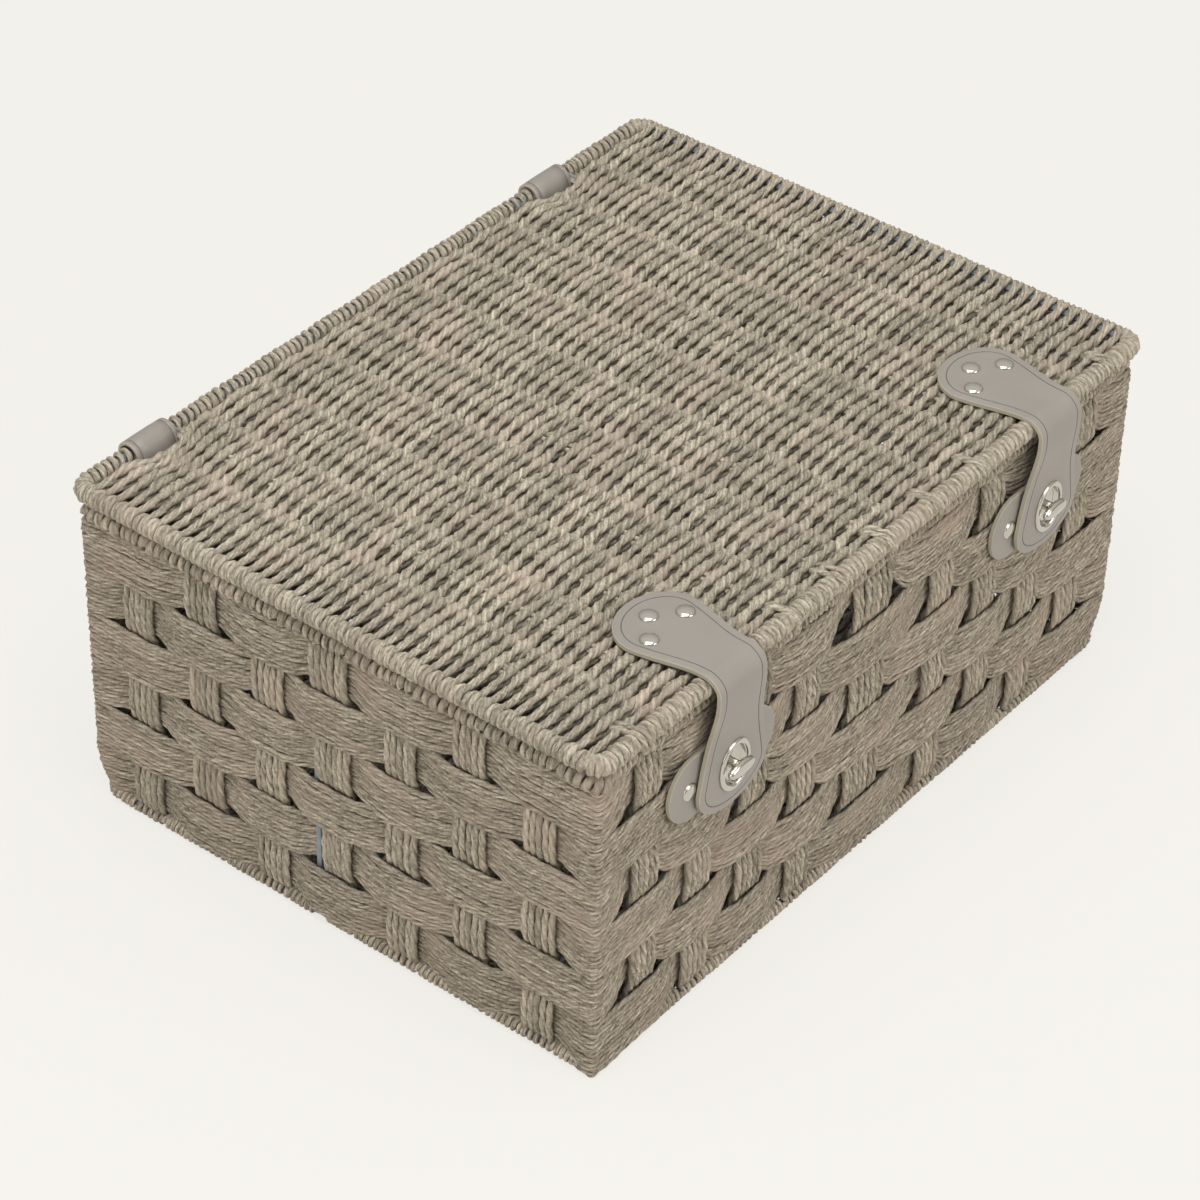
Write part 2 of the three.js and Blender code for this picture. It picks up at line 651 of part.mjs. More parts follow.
function pad(x) {
  const middle = x - PAD_LEFT;
  const half = (PAD_WIDTH - PAD_HEIGHT) / 2;
  const outline = new THREE.Shape();
  outline.absarc(half, 0, PAD_HEIGHT / 2, -Math.PI / 2, Math.PI / 2, false);
  outline.absarc(-half, 0, PAD_HEIGHT / 2, Math.PI / 2, (3 * Math.PI) / 2, false);
  const sheet = body(onFront(outline, middle, lockZ, padY, PAD_THICK, ARC_STEPS));
  const through = (shape, at) =>
    body(onFront(shape, at, lockZ, padY - CUT_OVERRUN, PAD_THICK + 2 * CUT_OVERRUN, HOLE_STEPS));
  const shank = ellipse(2 * RIVET_HOLE_R, 2 * RIVET_HOLE_R);
  const cuts = [
    through(slotOutline(), x),
    through(shank, middle - PAD_RIVET_X),
    through(shank, middle + PAD_RIVET_X),
  ];
  return geometryOf(cutBy(sheet, cuts));
}

function keeperPlate(x) {
  const back = padY + PAD_THICK + SEAT_GAP;
  const plate = ovalSlice(KEEPER_WIDTH, KEEPER_HEIGHT, x, back, KEEPER_THICK);
  const deep = KEEPER_THICK + 2 * CUT_OVERRUN;
  const slot = body(onFront(slotOutline(), x, lockZ, back - CUT_OVERRUN, deep, HOLE_STEPS));
  return geometryOf(plate.subtract(slot));
}

// A domed rivet, standing on z = 0 with its shank below.
function rivet(shank) {
  const points = [[0, RIVET_DOME]];
  for (let i = 1; i <= RIVET_RINGS; i += 1) {
    const angle = (Math.PI / 2) * (i / RIVET_RINGS);
    points.push([RIVET_R * Math.sin(angle), RIVET_DOME * Math.cos(angle)]);
  }
  points.push([RIVET_SHANK_R, 0], [RIVET_SHANK_R, -shank], [0, -shank]);
  const profile = points.map(([r, z]) => new THREE.Vector2(Math.max(r, 0), z)).reverse();
  const dome = new THREE.LatheGeometry(profile, RIVET_SIDES);
  dome.rotateX(Math.PI / 2);
  return dome;
}

// Basket.
place("base_frame", baseFrame(), paintedWire);
for (const wall of walls) {
  place(`${wall.name}_stakes`, stakeLadder(wall), paperRope);
}
for (let row = 0; row < BAND_COUNT; row += 1) {
  place(`band_${row + 1}`, bandRing(row), paperRope);
}
place("floor_weave", floorWeave(), paperRope);
loopPlaces.forEach((x, i) => place(`hinge_loop_${i + 1}`, hingeLoop(x), leather));

// Lid.
place("lid_frame", lidFrame(), paintedWire);
place("lid_binding", lidBinding(), paperRope);
place("lid_weave", lidWeave(), paperRope);

// Clasps.
for (const [side, x] of Object.entries(claspX)) {
  place(`${side}_pad`, pad(x), leather);
  place(`${side}_keeper_plate`, keeperPlate(x), nickel);
  ["outer", "inner"].forEach((end, i) => {
    const away = (side === "left" ? -1 : 1) * (i === 0 ? 1 : -1);
    const fixing = place(`${side}_pad_rivet_${end}`, rivet(PAD_THICK + SEAT_GAP), nickel);
    fixing.rotation.x = Math.PI / 2;
    const rivetX = x - PAD_LEFT + away * PAD_RIVET_X;
    fixing.position.set(rivetX, -(padY + PAD_THICK + SEAT_GAP), lockZ);
  });
  place(`${side}_strap_head`, strapHead(x), leather);
  headRivets(x).forEach(([rx, ry], i) => {
    const seat = lidTop + STRAP_THICK + 2 * SEAT_GAP;
    const fixing = place(`${side}_strap_rivet_${i + 1}`, rivet(seat - lidTop + RIVET_BITE), nickel);
    fixing.position.set(rx, ry, seat);
  });
  place(`${side}_strap_flap`, strapFlap(x), leather);
  place(`${side}_eyelet`, eyelet(x), nickel);
  place(`${side}_knob`, knob(x), nickel);
}

export default hamper;
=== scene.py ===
# %% [markdown]
# # A hamper basket of paper rope
# The basket is woven from twisted paper rope on a wire frame, and closed with two leather
# straps. A weave could be painted on flat walls, but its gaps, shadows and bulges are what the
# eye reads first. So every rope here is a real twisted strand that runs over and under the
# others, as in the workshop.

# %% Load the frame
import math
import bmesh
import bpy
import numpy as np
from mathutils import Euler, Matrix, Vector


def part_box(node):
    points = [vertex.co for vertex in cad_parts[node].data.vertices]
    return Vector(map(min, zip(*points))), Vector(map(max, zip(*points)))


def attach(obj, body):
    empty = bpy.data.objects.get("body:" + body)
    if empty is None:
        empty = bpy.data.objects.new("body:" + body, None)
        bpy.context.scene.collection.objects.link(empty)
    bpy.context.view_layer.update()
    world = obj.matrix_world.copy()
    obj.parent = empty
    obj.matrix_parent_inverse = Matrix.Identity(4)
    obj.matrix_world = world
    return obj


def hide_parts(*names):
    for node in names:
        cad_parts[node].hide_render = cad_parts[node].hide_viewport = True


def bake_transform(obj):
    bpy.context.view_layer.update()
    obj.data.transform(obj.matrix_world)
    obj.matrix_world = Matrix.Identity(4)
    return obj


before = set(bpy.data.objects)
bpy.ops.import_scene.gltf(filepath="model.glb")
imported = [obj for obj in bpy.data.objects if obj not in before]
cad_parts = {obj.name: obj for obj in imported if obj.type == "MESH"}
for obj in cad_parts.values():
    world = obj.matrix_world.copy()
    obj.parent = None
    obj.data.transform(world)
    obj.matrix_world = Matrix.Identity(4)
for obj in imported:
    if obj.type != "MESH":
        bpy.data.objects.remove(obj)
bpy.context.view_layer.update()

MM = 0.001
chance = np.random.RandomState(11)
print("nodes in the frame:", len(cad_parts))

# %% [markdown]
# ## Two small helpers for materials
# Colours are written as sRGB hex values, as a paint chart gives them, and one function makes
# them linear. A second function adds a shader node with its settings and links, so a material
# reads as a short list. In a Mix node for colours, inputs 6 and 7 are the two colours, and
# output 2 is what comes out.

# %% Helpers for colours and nodes


def linear(hex_colour):
    """The linear colour of an sRGB hex value."""
    parts = [int(hex_colour[i : i + 2], 16) / 255 for i in (1, 3, 5)]
    return [p / 12.92 if p <= 0.04045 else ((p + 0.055) / 1.055) ** 2.4 for p in parts] + [1.0]


def add(tree, kind, settings, links=()):
    """A new node: settings are inputs by name or number, or the node's own properties."""
    node = tree.nodes.new("ShaderNode" + kind)
    for name, value in settings.items():
        if isinstance(name, int) or name in node.inputs:
            node.inputs[name].default_value = value
        else:
            setattr(node, name, value)
    for name, socket in dict(links).items():
        tree.links.new(socket, node.inputs[name])
    return node


def new_material(name):
    """An empty material with its output node."""
    material = bpy.data.materials.new(name)
    material.use_nodes = True
    material.node_tree.nodes.clear()
    return material, material.node_tree, add(material.node_tree, "OutputMaterial", {})


print("white is", linear("#FFFFFF"))

# %% [markdown]
# ## The camera
# The photograph was taken from above the front left corner with a long lens, so the edges
# hardly converge. The place and the turn were found by fitting the basket's corners, and are
# kept as plain angles here.

# %% Camera
CAMERA_PLACE = Vector((-1.183, -0.9096, 1.2468))
CAMERA_TILT = 51.675
CAMERA_ROLL = -1.882
CAMERA_TURN = -49.759
CAMERA_LENS = 122.6
SENSOR_WIDTH = 36
VIEW_LIMIT = 20

camera = bpy.data.objects.new("camera", bpy.data.cameras.new("camera"))
bpy.context.collection.objects.link(camera)
camera_angles = [math.radians(a) for a in (CAMERA_TILT, CAMERA_ROLL, CAMERA_TURN)]
camera_turn = Euler(camera_angles, "YXZ").to_matrix().to_4x4()
camera.matrix_world = Matrix.Translation(CAMERA_PLACE) @ camera_turn
camera.data.lens = CAMERA_LENS
camera.data.sensor_width = SENSOR_WIDTH
camera.data.clip_end = VIEW_LIMIT
bpy.context.scene.camera = camera
print("camera stands", round(CAMERA_PLACE.length, 2), "m from the basket")

# %% [markdown]
# ## Floor and light
# The photograph is a studio cut-out: cream all round, soft light from above, no hard shadow. A
# large pale floor gives that: the camera sees its own shade mixed with a plain cream glow, so
# that a soft shadow stays round the basket. Metal sees the same cream in its reflections. Right
# under the basket the paper has no glow, because light hardly reaches there through the weave.
# The room gives more light from above than from the sides, and the camera sees it as plain
# cream too.

# %% Floor paper
BACKGROUND = "#F2F0EB"
PAPER = "#E9E6DF"
GLOW_SHARE = 0.85

floor_paper, tree, output = new_material("Cream_studio_paper")
shade = add(tree, "BsdfDiffuse", {"Color": linear(PAPER)})
glow = add(tree, "Emission", {"Color": linear(BACKGROUND), "Strength": 1.0})
rays = add(tree, "LightPath", {})
seen = rays.outputs["Is Camera Ray"]
for ray in ("Is Glossy Ray", "Is Transmission Ray"):
    seen = add(tree, "Math", {"operation": "MAXIMUM"}, {0: seen, 1: rays.outputs[ray]}).outputs[0]
share = add(tree, "Math", {"operation": "MULTIPLY", 1: GLOW_SHARE}, {0: seen})
layers = {0: share.outputs[0], 1: shade.outputs[0], 2: glow.outputs[0]}
mixed = add(tree, "MixShader", {}, layers)
tree.links.new(mixed.outputs[0], output.inputs["Surface"])

plain_paper, tree, output = new_material("Shaded_studio_paper")
shaded = add(tree, "BsdfDiffuse", {"Color": linear(PAPER)})
tree.links.new(shaded.outputs[0], output.inputs["Surface"])
print("papers:", floor_paper.name, "and", plain_paper.name)

# %% Studio floor
FLOOR_SIZE = 8.0
FLOOR_GAP = 0.2 * MM
PATCH_INSET = 6 * MM
UNDER_BASKET = 4
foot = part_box("base_frame")[1]
foot_x, foot_y = foot.x - PATCH_INSET, foot.y - PATCH_INSET
lines_x = [-FLOOR_SIZE / 2, -foot_x, foot_x, FLOOR_SIZE / 2]
lines_y = [-FLOOR_SIZE / 2, -foot_y, foot_y, FLOOR_SIZE / 2]
floor_points = [(x, y, -FLOOR_GAP) for y in lines_y for x in lines_x]
floor_faces = [[c, c + 1, c + 5, c + 4] for c in (0, 1, 2, 4, 5, 6, 8, 9, 10)]
floor_mesh = bpy.data.meshes.new("studio_floor")
floor_mesh.from_pydata(floor_points, [], floor_faces)
for paper in (floor_paper, plain_paper):
    floor_mesh.materials.append(paper)
floor_mesh.polygons[UNDER_BASKET].material_index = 1
studio_floor = bpy.data.objects.new("studio_floor", floor_mesh)
bpy.context.collection.objects.link(studio_floor)
print("floor faces:", len(floor_faces))

# %% Lamps
LAMP_AIM = Vector((0, 0, 0.1))
LAMPS = {
    "lamp_above": {"place": (-0.5, -0.3, 2.2), "size": 1.6, "power": 30},
    "lamp_left": {"place": (-2.0, -0.2, 0.9), "size": 1.2, "power": 9},
    "lamp_front": {"place": (0.3, -2.2, 1.0), "size": 1.2, "power": 15.5},
}


def soft_lamp(name, place, size, power):
    """A square lamp that shines from its place towards the basket."""
    lamp = bpy.data.objects.new(name, bpy.data.lights.new(name, "AREA"))
    lamp.data.shape = "SQUARE"
    lamp.data.size = size
    lamp.data.energy = power
    lamp.location = place
    lamp.rotation_euler = (LAMP_AIM - Vector(place)).to_track_quat("-Z", "Y").to_euler()
    bpy.context.collection.objects.link(lamp)


for name, lamp in LAMPS.items():
    soft_lamp(name, **lamp)
print("lamps:", list(LAMPS))

# %% World
ROOM = "#F4F2EE"
WALL_LIGHT = 0.38
CEILING_LIGHT = 0.85
CEILING_FROM = 0.8
ROOM_SEEN = 0.97
scene = bpy.context.scene
scene.view_settings.view_transform = "Standard"
world = bpy.data.worlds.new("studio_room")
world.use_nodes = True
tree = world.node_tree
room = tree.nodes["Background"]
room.inputs["Color"].default_value = linear(ROOM)
heading = add(tree, "TexCoord", {})
height = add(tree, "SeparateXYZ", {}, {"Vector": heading.outputs["Generated"]})
ceiling = add(
    tree,
    "MapRange",
    {"From Max": CEILING_FROM, "To Min": WALL_LIGHT, "To Max": CEILING_LIGHT},
    {"Value": height.outputs["Z"]},
)
rays = add(tree, "LightPath", {})
seen = add(
    tree,
    "MapRange",
    {"To Max": ROOM_SEEN},
    {"Value": rays.outputs["Is Camera Ray"], "To Min": ceiling.outputs[0]},
)
tree.links.new(seen.outputs[0], room.inputs["Strength"])
scene.world = world
print("room light:", WALL_LIGHT, "from the sides and", CEILING_LIGHT, "from above")

# %% [markdown]
# ## Twisted paper rope: the finish
# The rope is kraft paper, rolled into yarns that are twisted together. Paper gives a matt
# surface with fine creases along the twist, and each rope comes from another roll, so no two
# have quite the same grey. The tint of each rope and the depth of its groove are kept on the
# mesh, and the material reads them; the grooves between the yarns get a painted shade. Creases
# on real rope are about 0.3 mm apart; they are drawn 1.5 mm apart so that they show in the
# picture, and small specks break them up, as torn fibres do.

# %% Paper rope material
CREASE_ALONG = 8 * MM
CREASE_ACROSS = 1.5 * MM
SPECK = 1.3 * MM
SPECK_WEIGHT = 0.55
PATCH = 30 * MM
TINTS = {"To Min": 0.80, "To Max": 1.12}
# The colour of the shade painted into the grooves between the yarns.
GROOVE_SHADE = "#3F382E"


def paper_rope(name, light, dark, blush):
    """Matt twisted paper with creases along the rope, a tint for each rope and painted shade in its
    grooves.
    """
    material, tree, output = new_material(name)
    along = add(tree, "UVMap", {"uv_map": "rope_run"})
    stretched = add(
        tree,
        "Mapping",
        {"Scale": (1 / CREASE_ALONG, 1 / CREASE_ACROSS, 1)},
        {"Vector": along.outputs["UV"]},
    )
    crease = add(tree, "TexNoise", {"Scale": 1.0, "Detail": 3.0}, {"Vector": stretched.outputs[0]})
    place = add(tree, "TexCoord", {})
    spot = {"Vector": place.outputs["Object"]}
    patch = add(tree, "TexNoise", {"Scale": 1 / PATCH, "Detail": 2.0}, spot)
    patch_share = add(
        tree,
        "MapRange",
        {"From Min": 0.48, "From Max": 0.68, "To Min": 0.0, "To Max": 0.55},
        {"Value": patch.outputs["Fac"]},
    )
    tint = add(tree, "Attribute", {"attribute_name": "tint"})
    ridge = add(tree, "Attribute", {"attribute_name": "ridge"})
    speck = add(tree, "TexNoise", {"Scale": 1 / SPECK, "Detail": 1.0}, spot)
    fibre = add(
        tree,
        "Math",
        {"operation": "MULTIPLY_ADD", 1: SPECK_WEIGHT},
        {0: speck.outputs["Fac"], 2: crease.outputs["Fac"]},
    )
    fibre_share = add(
        tree, "MapRange", {"From Min": 0.58, "From Max": 0.97}, {"Value": fibre.outputs[0]}
    )
    paper = add(
        tree,
        "Mix",
        {"data_type": "RGBA", 6: linear(dark), 7: linear(light)},
        {0: fibre_share.outputs[0]},
    )
    blushed = add(
        tree,
        "Mix",
        {"data_type": "RGBA", 7: linear(blush)},
        {0: patch_share.outputs[0], 6: paper.outputs[2]},
    )
    level = add(tree, "MapRange", TINTS, {"Value": tint.outputs["Fac"]})
    tinted = add(
        tree,
        "Mix",
        {"data_type": "RGBA", "blend_type": "MULTIPLY", 0: 1.0},
        {6: blushed.outputs[2], 7: level.outputs[0]},
    )
    # Painted shade: the grooves between the yarns are mixed up to 35 % towards GROOVE_SHADE.
    groove = add(tree, "MapRange", {"To Min": 0.35, "To Max": 0.0}, {"Value": ridge.outputs["Fac"]})
    groove_shaded = add(
        tree,
        "Mix",
        {"data_type": "RGBA", 7: linear(GROOVE_SHADE)},
        {0: groove.outputs[0], 6: tinted.outputs[2]},
    )
    bump = add(
        tree,
        "Bump",
        {"Strength": 0.6, "Distance": 0.3 * MM},
        {"Height": fibre_share.outputs[0]},
    )
    paper_shader = add(
        tree,
        "BsdfPrincipled",
        {"Roughness": 0.85, "Specular IOR Level": 0.3},
        {"Base Color": groove_shaded.outputs[2], "Normal": bump.outputs[0]},
    )
    tree.links.new(paper_shader.outputs[0], output.inputs["Surface"])
    return material


wall_rope = paper_rope("Kraft_paper_rope_band", "#C0B5A3", "#766C5D", "#AF9D8D")
stake_rope = paper_rope("Kraft_paper_rope_stake", "#C6BCAA", "#7F7565", "#B6A595")
lid_rope = paper_rope("Kraft_paper_rope_lid", "#C7BEAC", "#857C6B", "#BCAB9C")
print("rope materials:", [m.name for m in (wall_rope, stake_rope, lid_rope)])

# %% [markdown]
# ## Twisted paper rope: the shape
# A rope has three or four yarns that wind about each other. A curve with a round bevel would be
# quicker, but it has no twist. So the section here has a lobe for each yarn, and it turns as it
# travels along the path. All the ropes of a piece go into one mesh, which keeps the scene light
# to turn and render.

# %% Small helpers for shapes


def unit(vectors):
    """Vectors of length one."""
    return vectors / np.linalg.norm(vectors, axis=-1, keepdims=True)


def smooth(share):
    """A smooth step from 0 to 1."""
    return share**2 * (3 - 2 * share)


def middle(node):
    """The middle of a CAD node's box."""
    low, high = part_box(node)
    return [(a + b) / 2 for a, b in zip(low, high)]


def ring_quads(rings, sides, closed=False):
    """Faces between rings of points, and from the last ring to the first if closed."""
    spans = rings if closed else rings - 1
    here = (np.arange(spans) * sides)[:, None]
    ahead = ((np.arange(spans) + 1) % rings * sides)[:, None]
    k = np.arange(sides)[None, :]
    after = (k + 1) % sides
    return np.stack([here + k, here + after, ahead + after, ahead + k], -1).reshape(-1, 4)


def end_caps(rings, sides):
    """Faces that close the first and the last ring."""
    i = np.arange(sides // 2 - 1)
    cap = np.stack([i, i + 1, sides - 2 - i, sides - 1 - i], -1)
    return np.concatenate([cap[:, ::-1], cap + (rings - 1) * sides])


print("a six-sided tube of three rings has", len(ring_quads(3, 6)), "faces round it")

# %% Rope builder
GROOVE = 0.8
LAY_SPREAD = (0.85, 1.2)


def rope(path, side, radius, lay, sides=6, closed=False, tint=None):
    """One twisted rope along a path. side is a direction that never lies along the path."""
    path = np.asarray(path, float)
    count = len(path)
    if closed:
        tangent = unit(np.roll(path, -1, 0) - np.roll(path, 1, 0))
        steps = np.linalg.norm(np.roll(path, -1, 0) - path, axis=1)
        run = np.concatenate([[0], np.cumsum(steps)])
        turns = round(run[-1] / lay)
        roll = -2 * math.pi * turns * run[:-1] / run[-1]
    else:
        tangent = unit(np.gradient(path, axis=0))
        steps = np.linalg.norm(np.diff(path, axis=0), axis=1)
        run = np.concatenate([[0], np.cumsum(steps)])
        roll = -2 * math.pi * run / lay
    side = np.broadcast_to(np.asarray(side, float), path.shape)
    across = unit(side - (side * tangent).sum(1, keepdims=True) * tangent)
    third = np.cross(tangent, across)
    corner = np.linspace(0, 2 * math.pi, sides, endpoint=False)
    ridge = np.tile([1.0, 0.0], sides // 2)
    lobes = GROOVE + (1 - GROOVE) * ridge
    reach = np.broadcast_to(np.asarray(radius, float), (count,))[:, None] * lobes
    angle = corner[None, :] + roll[:, None] + chance.uniform(0, math.pi)
    turned = np.cos(angle)[..., None] * across[:, None] + np.sin(angle)[..., None] * third[:, None]
    points = path[:, None] + reach[..., None] * turned
    quads = ring_quads(count, sides, closed)
    spans = count if closed else count - 1
    girth = 2 * math.pi * np.max(radius) / sides
    from_run = np.repeat(run[:spans], sides)
    to_run = np.repeat(run[1 : spans + 1], sides)
    low = np.tile(np.arange(sides) * girth, spans)
    corners = [(from_run, low), (from_run, low + girth), (to_run, low + girth), (to_run, low)]
    places = np.stack([np.stack(corner_place, -1) for corner_place in corners], 1)
    if not closed:
        caps = end_caps(count, sides)
        quads = np.concatenate([quads, caps])
        places = np.concatenate([places, np.zeros((len(caps), 4, 2))])
    tint = chance.uniform(0, 1) if tint is None else tint
    return {
        "points": points.reshape(-1, 3),
        "quads": quads,
        "places": places + [0, chance.uniform(0, 1)],
        "tint": np.full(count * sides, tint),
        "ridge": np.tile(ridge, count),
    }


print("a groove is", round((1 - GROOVE) * 100), "% of a rope's radius deep")

# %% Pieces
ROPE_VALUES = ("tint", "ridge")


def quad_mesh(name, points, quads):
    """A smooth mesh of four-cornered faces."""
    mesh = bpy.data.meshes.new(name)
    mesh.vertices.add(len(points))
    mesh.vertices.foreach_set("co", np.ascontiguousarray(points, np.float32).ravel())
    mesh.loops.add(quads.size)
    mesh.loops.foreach_set("vertex_index", np.ascontiguousarray(quads, np.int32).ravel())
    mesh.polygons.add(len(quads))
    mesh.polygons.foreach_set("loop_start", np.arange(0, quads.size, 4, dtype=np.int32))
    mesh.update(calc_edges=True)
    mesh.shade_smooth()
    return mesh


def add_piece(name, mesh, materials, body, stands_for):
    """Puts a mesh in the scene, riding on a body, in place of the CAD nodes it stands for."""
    piece = bpy.data.objects.new(name, mesh)
    bpy.context.collection.objects.link(piece)
    for material in materials:
        mesh.materials.append(material)
    if body:
        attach(piece, body)
    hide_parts(*stands_for)
    print(name, len(mesh.polygons), "faces")
    return piece


def rope_piece(name, ropes, material, body, stands_for):
    """Many ropes as one piece, with the tint and groove of each point kept on the mesh."""
    starts = np.cumsum([0] + [len(r["points"]) for r in ropes])
    points = np.concatenate([r["points"] for r in ropes])
    quads = np.concatenate([r["quads"] + start for r, start in zip(ropes, starts)])
    mesh = quad_mesh(name, points, quads)
    for kept in ROPE_VALUES:
        values = np.concatenate([r[kept] for r in ropes]).astype(np.float32)
        mesh.attributes.new(kept, "FLOAT", "POINT").data.foreach_set("value", values)
    places = np.concatenate([r["places"] for r in ropes]).astype(np.float32)
    mesh.uv_layers.new(name="rope_run").uv.foreach_set("vector", places.ravel())
    add_piece(name, mesh, [material], body, stands_for)


print("kept on each point of a rope:", ROPE_VALUES)

# %% [markdown]
# ## The four walls
# Each wall is flat in plan, with its own direction along it and out of it. Six bands of rope
# run round all four, and thirty-two upright stakes stand in them. A stake is outside every
# second band, as in plain weave.

# %% Wall plan
BAND_ROWS = 6
STAKE_WIDTH = 17.5 * MM
STAKE_SWAY_OUT = 2.6 * MM
STAKE_SWAY_IN = 1.0 * MM
POST_OFFSET = -11.8 * MM
BAND_SWAY = 3.3 * MM
BAND_DIP = {"front": 1.4 * MM, "right": 1.8 * MM, "back": 1.8 * MM, "left": 1.3 * MM}
BAND_HALF = 1.5 * MM
FRONT_FIRST_STAKE = 50 * MM
FRONT_CORNER_GAP = 31.2 * MM
FRONT_EACH_SIDE = 4
END_FIRST_STAKE = 38 * MM
END_CORNER_GAP = 27.7 * MM
END_EACH_SIDE = 3
RIM_WIRE = 1.73 * MM
LOW_Z = 2.8 * MM
DIRECTIONS = {
    "front": {"along": (1, 0), "out": (0, -1)},
    "right": {"along": (0, 1), "out": (1, 0)},
    "back": {"along": (-1, 0), "out": (0, 1)},
    "left": {"along": (0, -1), "out": (-1, 0)},
}

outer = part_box("band_1")[1]
WALL_X = outer.x - BAND_SWAY - BAND_HALF
WALL_Y = outer.y - BAND_SWAY - BAND_HALF
band_boxes = [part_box(f"band_{row + 1}") for row in range(BAND_ROWS)]
band_spans = [(low.z, high.z) for low, high in band_boxes]
BAND_TOP = band_spans[0][1]
BAND_BOTTOM = band_spans[-1][0]
ROW_PITCH = band_spans[0][1] - band_spans[1][1]
RIM_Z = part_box("base_frame")[1].z - RIM_WIRE


def stake_places(half, first_stake, corner_gap, each_side):
    """Distances of a wall's stakes from its middle."""
    side = np.linspace(first_stake, half - corner_gap, each_side)
    return np.concatenate([-side[::-1], [0], side])


FRONT_STAKES = stake_places(WALL_X, FRONT_FIRST_STAKE, FRONT_CORNER_GAP, FRONT_EACH_SIDE)
END_STAKES = stake_places(WALL_Y, END_FIRST_STAKE, END_CORNER_GAP, END_EACH_SIDE)

walls = []
stakes_before = 0
for name, directions in DIRECTIONS.items():
    is_long = name in ("front", "back")
    wall = {"name": name, **directions, "first": stakes_before}
    wall["half"], wall["away"] = (WALL_X, WALL_Y) if is_long else (WALL_Y, WALL_X)
    wall["stakes"] = FRONT_STAKES if is_long else END_STAKES
    stakes_before += len(wall["stakes"])
    walls.append(wall)
print("wall planes at", round(WALL_X / MM, 1), "and", round(WALL_Y / MM, 1), "mm")

# %% Places on a wall


def on_wall(wall, along, out, z):
    """Points on a wall from the distance along it, out of it and up."""
    along, out, z = np.broadcast_arrays(along, out, z)
    x = wall["along"][0] * along + wall["out"][0] * (wall["away"] + out)
    y = wall["along"][1] * along + wall["out"][1] * (wall["away"] + out)
    return np.stack([x, y, z], -1)


def stake_side(number, row):
    """1 where a stake stands outside a band, -1 where it stands inside."""
    return 1 if (number + row) % 2 == 0 else -1


def eased(x, stations, values):
    """Values at stations, with a smooth step between each pair."""
    i = np.clip(np.searchsorted(stations, x) - 1, 0, len(stations) - 2)
    share = np.clip((x - stations[i]) / (stations[i + 1] - stations[i]), 0, 1)
    return values[i] + (values[i + 1] - values[i]) * smooth(share)


print("first stake over the first band:", stake_side(0, 0) > 0)

# %% [markdown]
# ## Bands
# A band is eleven thin ropes that lie flat on each other and go round the basket together, each
# a closed ring. Where it passes behind a stake its lower ropes are pulled up, which opens the
# dark corners of the weave. The widest of these eyes is beside the middle stake of the front,
# under the lid's edge. The top band reaches up to the rim, except on the back, where the hinge
# loops need the room. The lowest comes down to the rail. It is tucked in at three corners and
# drops at the near one.

# %% Bands
BAND_ROPES = 11
BAND_STEP = 2.3 * MM
BAND_LAY = 19 * MM
BAND_FULL = 0.6
BESIDE_POST = {"front": 5 * MM, "right": 2.2 * MM, "back": 5 * MM, "left": 2.2 * MM}
SWAY_INSET = 2 * MM
PULL_SPREAD = (0.6, 1.4)
BAND_SPREAD = (0.92, 1.08)
PULL_UP = {"front": 0.22, "right": 0.1, "back": 0.15, "left": 0.06}
WIDE_PULL_UP = 0.62
PULL_REACH = 9 * MM
WIDE_PULL_REACH = 17 * MM
WIDE_SHIFT = 10 * MM
TOP_REACH = 2.2 * MM
LOW_REACH = 2 * MM
LOOP_ROOM = 20 * MM
TUCK = 4.2 * MM
TUCK_RUN = 22 * MM
NEAR_DROP = 3.2 * MM
NEAR_RUN = 62 * MM
NEAR_HOLD = 1.3
CORNER_BEND = 2.0 * MM
CORNER_STEPS = 5
WAVER = 0.3 * MM
FINE_WAVER = 0.22 * MM
LONG_WAVES = (9, 40)
SHORT_WAVES = (60, 130)
FULL_TURN = 6.3


def stake_span(wall, i):
    """Where a stake starts and ends along its wall. The middle one also takes in the post."""
    offset = wall["stakes"][i]
    if offset == 0:
        return POST_OFFSET - BESIDE_POST[wall["name"]], STAKE_WIDTH / 2
    return offset - STAKE_WIDTH / 2, offset + STAKE_WIDTH / 2


def band_sway(wall, row, along):
    """How far out a band lies along a wall."""
    stations = [-wall["half"]]
    sways = [BAND_SWAY]
    for i in range(len(wall["stakes"])):
        start, end = stake_span(wall, i)
        stations += [start + SWAY_INSET, end - SWAY_INSET]
        behind = stake_side(wall["first"] + i, row) > 0
        sways += [-BAND_DIP[wall["name"]] if behind else BAND_SWAY] * 2
    return eased(along, np.array(stations + [wall["half"]]), np.array(sways + [BAND_SWAY]))


def band_pull(wall, row, along):
    """The share by which a band's height shrinks beside the stakes that it passes behind."""
    pull = np.zeros(len(along))
    for i, offset in enumerate(wall["stakes"]):
        if stake_side(wall["first"] + i, row) < 0:
            continue
        start, end = stake_span(wall, i)
        wide = wall["name"] == "front" and row == 0 and offset == 0
        reach = WIDE_PULL_REACH if wide else PULL_REACH
        start -= WIDE_SHIFT if wide else 0
        near = 1 - np.clip(np.maximum(start - along, along - end) / reach, 0, 1)
        spread = 1 if wide else chance.uniform(*PULL_SPREAD)
        most = spread * (WIDE_PULL_UP if wide else PULL_UP[wall["name"]])
        pull = np.maximum(pull, most * smooth(near))
    return pull


print("eyes in the front reach", round(WIDE_PULL_REACH / MM, 1), "mm from the middle stake")

# %% Band ropes


